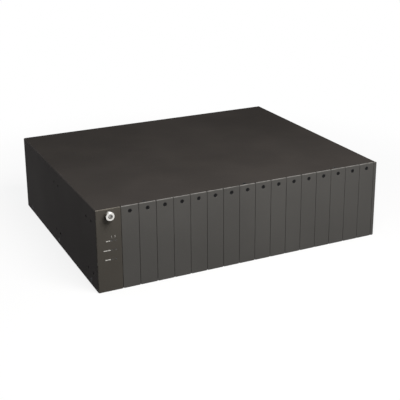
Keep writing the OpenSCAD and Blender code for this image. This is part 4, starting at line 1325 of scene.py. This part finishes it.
@dataclass
class ControlModule:
    """The control module: panel with its marks, lamps, captive screw, carrier and lamp board."""

    edge_r: float = PLATE_EDGE_R
    mark_thick: float = 0.04 * MM

    # Numerals, with outlines in shares of half their height
    numeral_z: float = 77.4 * MM
    numeral_x: Point2 = mm(-199.3, -194.6)
    numeral_h: float = 2.5 * MM
    numeral_stroke: float = 0.36 * MM
    one: tuple[Point2, ...] = ((-0.3, 0.62), (0.08, 1.0), (0.08, -1.0))
    two_bow: tuple[Point2, ...] = tuple(arc((0.0, 0.45), 0.52, 165.0, -32.0))
    two_foot: tuple[Point2, ...] = ((-0.52, -1.0), (0.56, -1.0))

    # Bars beside the lamps, each with its Z, its length and the shares of the length that are printed
    bar_h: float = 1.25 * MM
    bar_right: float = -201.5 * MM
    bars: tuple[tuple[float, float, tuple[Point2, ...]], ...] = (
        (72.0 * MM, 5.7 * MM, ((0.0, 0.6), (0.68, 1.0))),
        (58.8 * MM, 9.2 * MM, ((0.0, 0.56), (0.62, 1.0))),
        (45.4 * MM, 7.6 * MM, ((0.0, 0.42), (0.5, 1.0))))

    # How far the lamp blocks reach from the board's front edge
    lamp_block_l: float = 60.0 * MM

    # Chips and their leads; a bend is the way out of the chip's side and the height above the board
    main_chip: Point3 = mm(12.0, 12.0, 1.4)
    side_chip: Point3 = mm(10.0, 4.0, 1.6)
    side_chip_shifts: tuple[Point2, ...] = (mm(26.0, 14.0), mm(26.0, -2.0))
    chip_edge: float = 0.15 * MM
    lead_step: float = 1.0 * MM
    lead_margin: float = 0.8 * MM
    lead_r: float = 0.16 * MM
    lead_bend: tuple[Point2, ...] = (mm(-0.2, 0.85), mm(0.35, 0.85), mm(0.6, 0.2), mm(1.2, 0.16))

    # Resistors in rows, with a cap on each end
    resistor_rows: int = 3
    resistor_count: int = 7
    resistor_first: Point2 = mm(16.0, -22.0)
    resistor_step: Point2 = mm(3.6, 20.0)
    resistor_size: Point3 = mm(1.1, 1.25, 0.5)
    resistor_edge: float = 0.08 * MM
    cap_size: Point3 = mm(0.5, 1.3, 0.56)
    cap_edge: float = 0.1 * MM
    cap_shift: float = 0.8 * MM

    # Capacitor cans on square feet
    can_shift: Point2 = mm(-18.0, 22.0)
    foot_size: Point3 = mm(6.6, 6.6, 0.8)
    foot_edge: float = 0.3 * MM
    can_profile: tuple[Point2, ...] = (mm(0.0, 0.6), mm(3.1, 0.6), mm(3.1, 1.4), mm(2.883, 1.7),
                                       mm(3.1, 2.0), mm(3.1, 5.0), mm(2.79, 5.3), mm(0.0, 5.3))

    # Contact fingers on the rear tab
    finger_count: int = 9
    finger_step: float = 2.54 * MM
    finger_size: Point3 = mm(6.0, 1.5, 0.035)
    finger_edge: float = 0.015 * MM
    finger_inset: float = 0.6 * MM
    tab_z: float = 44.0 * MM

    def build(self) -> None:
        """Dresses the module's nodes and builds its small parts."""
        soften(dress("control_panel", PANEL), self.edge_r)
        dress_knob("front_thumbscrew", "front_knob")
        dress("thumbscrew_ferrule", NICKEL)
        dress("status_leds", LENS)
        dress("control_carrier", ZINC)
        dress("led_board", BOARD)
        self.print_marks()
        self.fit_board()
        self.plate_fingers()

    def print_marks(self) -> None:
        """Prints the two column numerals and a plain bar beside each row of lamps."""
        face_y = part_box("control_panel")[0][1]
        half = self.numeral_h / 2
        shape = Shape()
        for x, outline in zip(self.numeral_x, (self.one, self.two_bow + self.two_foot)):
            path = [(u * half, v * half) for u, v in outline]
            place = Facing.FRONT.at(x, face_y, self.numeral_z)
            shape.stroke(place, path, self.numeral_stroke, self.mark_thick)
        for z, long, parts in self.bars:
            place = Facing.FRONT.at(self.bar_right - long, face_y, z)
            for start, end in parts:
                shape.stroke(place, ((long * start, 0.0), (long * end, 0.0)), self.bar_h, self.mark_thick)
        shape.piece("panel_marks", "control_module", PANEL_INK, Slot.PLATE)

    def fit_board(self) -> None:
        """Fits chips, resistors and capacitors on the open face of the lamp board."""
        face_x = self.board_face()
        first_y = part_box("led_board")[0][1] + self.resistor_first[0]
        _, middle_y, middle_z = middle_of("led_board")
        chips, leads, cans = Shape(), Shape(), Shape()
        self.fit_chip(chips, leads, Facing.LEFT.at(face_x, middle_y, middle_z), self.main_chip, rows=4)
        for shift_y, shift_z in self.side_chip_shifts:
            place = Facing.LEFT.at(face_x, middle_y + shift_y, middle_z + shift_z)
            self.fit_chip(chips, leads, place, self.side_chip, rows=2)
        for row in range(self.resistor_rows):
            z = middle_z + self.resistor_first[1] + self.resistor_step[1] * row
            for i in range(self.resistor_count):
                place = Facing.LEFT.at(face_x, first_y + self.resistor_step[0] * i, z)
                chips.block(place, self.resistor_size, self.resistor_edge)
                for end in (-1, 1):
                    cap = place @ standing(end * self.cap_shift, 0.0, 0.0)
                    leads.block(cap, self.cap_size, self.cap_edge)
        for side in (1, -1):
            place = Facing.LEFT.at(face_x, middle_y + self.can_shift[0], middle_z + side * self.can_shift[1])
            chips.block(place, self.foot_size, self.foot_edge)
            cans.turned(place, self.can_profile)
        chips.piece("lamp_board_chips", "control_module", CHIP, Slot.SOCKET)
        leads.piece("lamp_board_leads", "control_module", TIN, Slot.NICKEL)
        cans.piece("lamp_board_cans", "control_module", TIN, Slot.NICKEL)

    def board_face(self) -> float:
        """Finds the lamp board's open face, behind its lamp blocks.

        Returns:
            X of the face.
        """
        points = [corner.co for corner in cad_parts["led_board"].data.vertices]
        front = min(point.y for point in points)
        return min(point.x for point in points if point.y > front + self.lamp_block_l)

    def fit_chip(self, chips: Shape, leads: Shape, place: Matrix, size: Point3, rows: int) -> None:
        """Adds a chip with bent leads along two or four of its sides.

        Args:
            chips: Takes the chip's body.
            leads: Takes its leads.
            place: Where it stands.
            size: Width, height and thickness of its body.
            rows: 2 or 4 rows of leads.
        """
        chips.block(place @ standing(0.0, 0.0, self.chip_edge), size, self.chip_edge)
        for turn in range(rows):
            quarter = turn if rows == 4 else 2 * turn
            side = place @ Matrix.Rotation(math.pi / 2 * quarter, 4, "Z")
            long, out = (size[0], size[1]) if quarter % 2 == 0 else (size[1], size[0])
            count = int((long - self.lead_margin) / self.lead_step)
            for i in range(count):
                u = (i - (count - 1) / 2) * self.lead_step
                path = [side @ Vector((u, out / 2 + v, w)) for v, w in self.lead_bend]
                leads.pipe(path, self.lead_r, sides=6)

    def plate_fingers(self) -> None:
        """Lays the gold contact fingers on both faces of the board's rear tab."""
        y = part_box("led_board")[1][1] - self.finger_inset - self.finger_size[0] / 2
        face_x = self.board_face()
        shape = Shape()
        for facing, x in ((Facing.LEFT, face_x), (Facing.RIGHT, face_x + BOARD_T)):
            for i in range(self.finger_count):
                z = self.tab_z + (i - (self.finger_count - 1) / 2) * self.finger_step
                shape.block(facing.at(x, y, z), self.finger_size, self.finger_edge, steps=1)
        shape.piece("control_contacts", "control_module", GOLD, Slot.NICKEL)


@dataclass
class Inside:
    """Rails, guides, divider and the backplane with its plugs."""

    plug_z: float = 44.0 * MM
    plug_y: float = -57.6 * MM
    sleeve_profile: tuple[Point2, ...] = (mm(2.77, 1.0), mm(2.89, 1.0), mm(2.89, 8.3), mm(2.79, 8.5),
                                          mm(2.77, 8.5))

    def build(self) -> None:
        """Dresses the inside and sleeves the barrel plugs."""
        dress_each(ZINC, "bay_divider", "card_guide_bottom", "card_guide_top", "backplane_bracket",
                   "psu_bay_1", "psu_bay_2")
        dress_each(TRAY, "front_top_rail", "front_bottom_rail")
        dress("backplane_board", BOARD)
        dress_each(SOCKET, "slot_power_plugs", "backplane_sockets")
        dress("backplane_screws", NICKEL)
        shape = Shape()
        for i in range(SLOT_COUNT):
            place = Facing.FRONT.at(FIRST_SLOT_X + (i + 0.5) * SLOT_PITCH, self.plug_y, self.plug_z)
            shape.turned(place, self.sleeve_profile, closed=True)
        shape.piece("plug_sleeves", "chassis", NICKEL, Slot.NICKEL)


@dataclass
class PowerModule:
    """One power module: case, power entry with its pins, rocker, handle and captive screw."""

    number: int
    module_x: float = 150.0 * MM
    entry_x: float = -28.0 * MM

    # Pins of the power entry
    inlet_z: float = 49.0 * MM
    pin_step: float = 7.0 * MM
    pin_shift: float = 2.0 * MM
    pin_size: Point3 = mm(2.1, 4.1, 14.9)
    pin_edge: float = 0.5 * MM
    cavity_y: float = 155.15 * MM

    # Marks on the rocker, first drawn as columns that reach far behind the module
    rocker_z: float = 71.5 * MM
    mark_x: float = 5.4 * MM
    mark_r: float = 1.5 * MM
    mark_stroke: float = 0.5 * MM
    mark_proud: float = 0.05 * MM
    mark_reach: float = 1.0

    # Parts on the board, measured from the line board_y0 and the board's top
    board_y0: float = -27.6 * MM
    board_top: float = 19.1 * MM
    tape_place: Point2 = mm(89.0, 4.0)
    tape_size: Point3 = mm(40.6, 38.6, 26.0)
    tape_edge: float = 1.2 * MM
    capacitor_y: float = 30.0 * MM
    capacitor_step: float = 22.0 * MM
    sleeve_profile: tuple[Point2, ...] = (mm(0.0, 0.4), mm(9.15, 0.4), mm(9.15, 1.6), mm(9.2, 4.0),
                                          mm(9.2, 29.0), mm(8.55, 30.15), mm(0.0, 30.15))
    sink_x: float = 34.0 * MM
    sink_place: Point2 = mm(142.0, 0.4)
    sink_size: Point3 = mm(3.3, 60.3, 43.8)
    sink_edge: float = 0.3 * MM

    def build(self) -> None:
        """Dresses the module and builds its small parts."""
        name = f"psu_{self.number}"
        for node, finish in (("case", ZINC), ("lid", LID), ("board", BOARD), ("inlet", SOCKET),
                             ("rocker", SOCKET), ("handle", ROD)):
            dress(f"{name}_{node}", finish)
        dress_knob(f"{name}_thumbscrew", f"{name}_knob")
        self.plate_pins(name)
        self.mark_rocker(name)
        self.fit_parts(name)

    def middle(self) -> float:
        """Returns the X of the module's middle."""
        return -self.module_x if self.number == 1 else self.module_x

    def plate_pins(self, name: str) -> None:
        """Plates the three pins of the power entry.

        Args:
            name: The module's name.
        """
        shape = Shape()
        for i in (-1, 0, 1):
            x = self.middle() + self.entry_x + i * self.pin_step
            z = self.inlet_z + (self.pin_shift if i == 0 else -self.pin_shift)
            shape.block(Facing.REAR.at(x, self.cavity_y, z), self.pin_size, self.pin_edge, steps=3)
        shape.piece(f"{name}_pins", name, NICKEL, Slot.NICKEL)

    def mark_rocker(self, name: str) -> None:
        """Prints the bar for on and the ring for off on the two halves of the rocker.

        Args:
            name: The module's name.
        """
        middle_x = self.middle() + self.entry_x
        inner, outer = self.mark_r - self.mark_stroke / 2, self.mark_r + self.mark_stroke / 2
        far = self.mark_reach
        shape = Shape()
        shape.stroke(Facing.REAR.at(middle_x + self.mark_x, 0.0, self.rocker_z),
                     ((0.0, -self.mark_r), (0.0, 0.0), (0.0, self.mark_r)), self.mark_stroke, far)
        shape.turned(Facing.REAR.at(middle_x - self.mark_x, 0.0, self.rocker_z),
                     ((inner, 0.0), (outer, 0.0), (outer, far), (inner, far)), closed=True)
        surface = BVHTree.FromPolygons(*self.surface(f"{name}_rocker"))
        for corner in shape.mesh.verts:
            raised = self.mark_proud if corner.co.y > far / 2 else -self.mark_proud
            hit = surface.ray_cast(Vector((corner.co.x, far, corner.co.z)), Vector((0.0, -1.0, 0.0)))[0]
            corner.co.y = hit.y + raised
        shape.piece(f"{name}_rocker_marks", f"{name}_rocker", ROCKER_INK, Slot.SOCKET)

    @staticmethod
    def surface(node: str) -> tuple[list[Vector], list[list[int]]]:
        """Returns the corners and faces of a CAD node."""
        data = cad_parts[node].data
        return [corner.co.copy() for corner in data.vertices], [list(face.vertices) for face in data.polygons]

    def fit_parts(self, name: str) -> None:
        """Wraps the parts on the board: winding tape, capacitor sleeves and the two heat sinks.

        Args:
            name: The module's name.
        """
        middle = self.middle()
        tape, sleeves, sinks = Shape(), Shape(), Shape()
        tape.block(standing(middle, self.board_y0 + self.tape_place[0], self.board_top + self.tape_place[1]),
                   self.tape_size, self.tape_edge, steps=3)
        for i in (-1, 0, 1):
            x = middle + i * self.capacitor_step
            sleeves.turned(standing(x, self.board_y0 + self.capacitor_y, self.board_top),
                           self.sleeve_profile, sides=32)
        for side in (-1, 1):
            y, z = self.board_y0 + self.sink_place[0], self.board_top + self.sink_place[1]
            sinks.block(standing(middle + side * self.sink_x, y, z), self.sink_size, self.sink_edge)
        tape.piece(f"{name}_winding_tape", name, TAPE, Slot.BOARD)
        sleeves.piece(f"{name}_capacitor_sleeves", name, SLEEVE, Slot.SOCKET)
        sinks.piece(f"{name}_heat_sinks", name, TIN, Slot.ZINC)


@dataclass
class FanUnit:
    """One fan with the plain foil on its hub."""

    number: int
    foil_profile: tuple[Point2, ...] = (mm(0.0, 0.0), mm(16.0, 0.0), mm(16.0, 0.06), mm(15.94, 0.12),
                                        mm(11.52, 0.12), mm(11.2, 0.072), mm(10.88, 0.12), mm(0.0, 0.12))

    def build(self) -> None:
        """Dresses the fan and lays the foil on its hub."""
        name = f"fan_{self.number}"
        dress_each(FAN, f"{name}_frame", f"{name}_rotor")
        middle = middle_of(f"{name}_frame")
        rear_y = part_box(f"{name}_frame")[1][1]
        shape = Shape()
        shape.turned(Facing.REAR.at(middle[0], rear_y, middle[2]), self.foil_profile, sides=48)
        shape.piece(f"{name}_hub_foil", "chassis", FOIL, Slot.NICKEL)


def main() -> None:
    """Builds the studio and the sub-assemblies in order."""
    logging.basicConfig(level=logging.INFO, format="%(name)s: %(message)s")
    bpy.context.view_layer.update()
    Studio().build()
    Body().build()
    FrontPlates().build()
    ControlModule().build()
    Inside().build()
    for number in (1, 2):
        PowerModule(number).build()
        FanUnit(number).build()


if __name__ == "__main__":
    main()
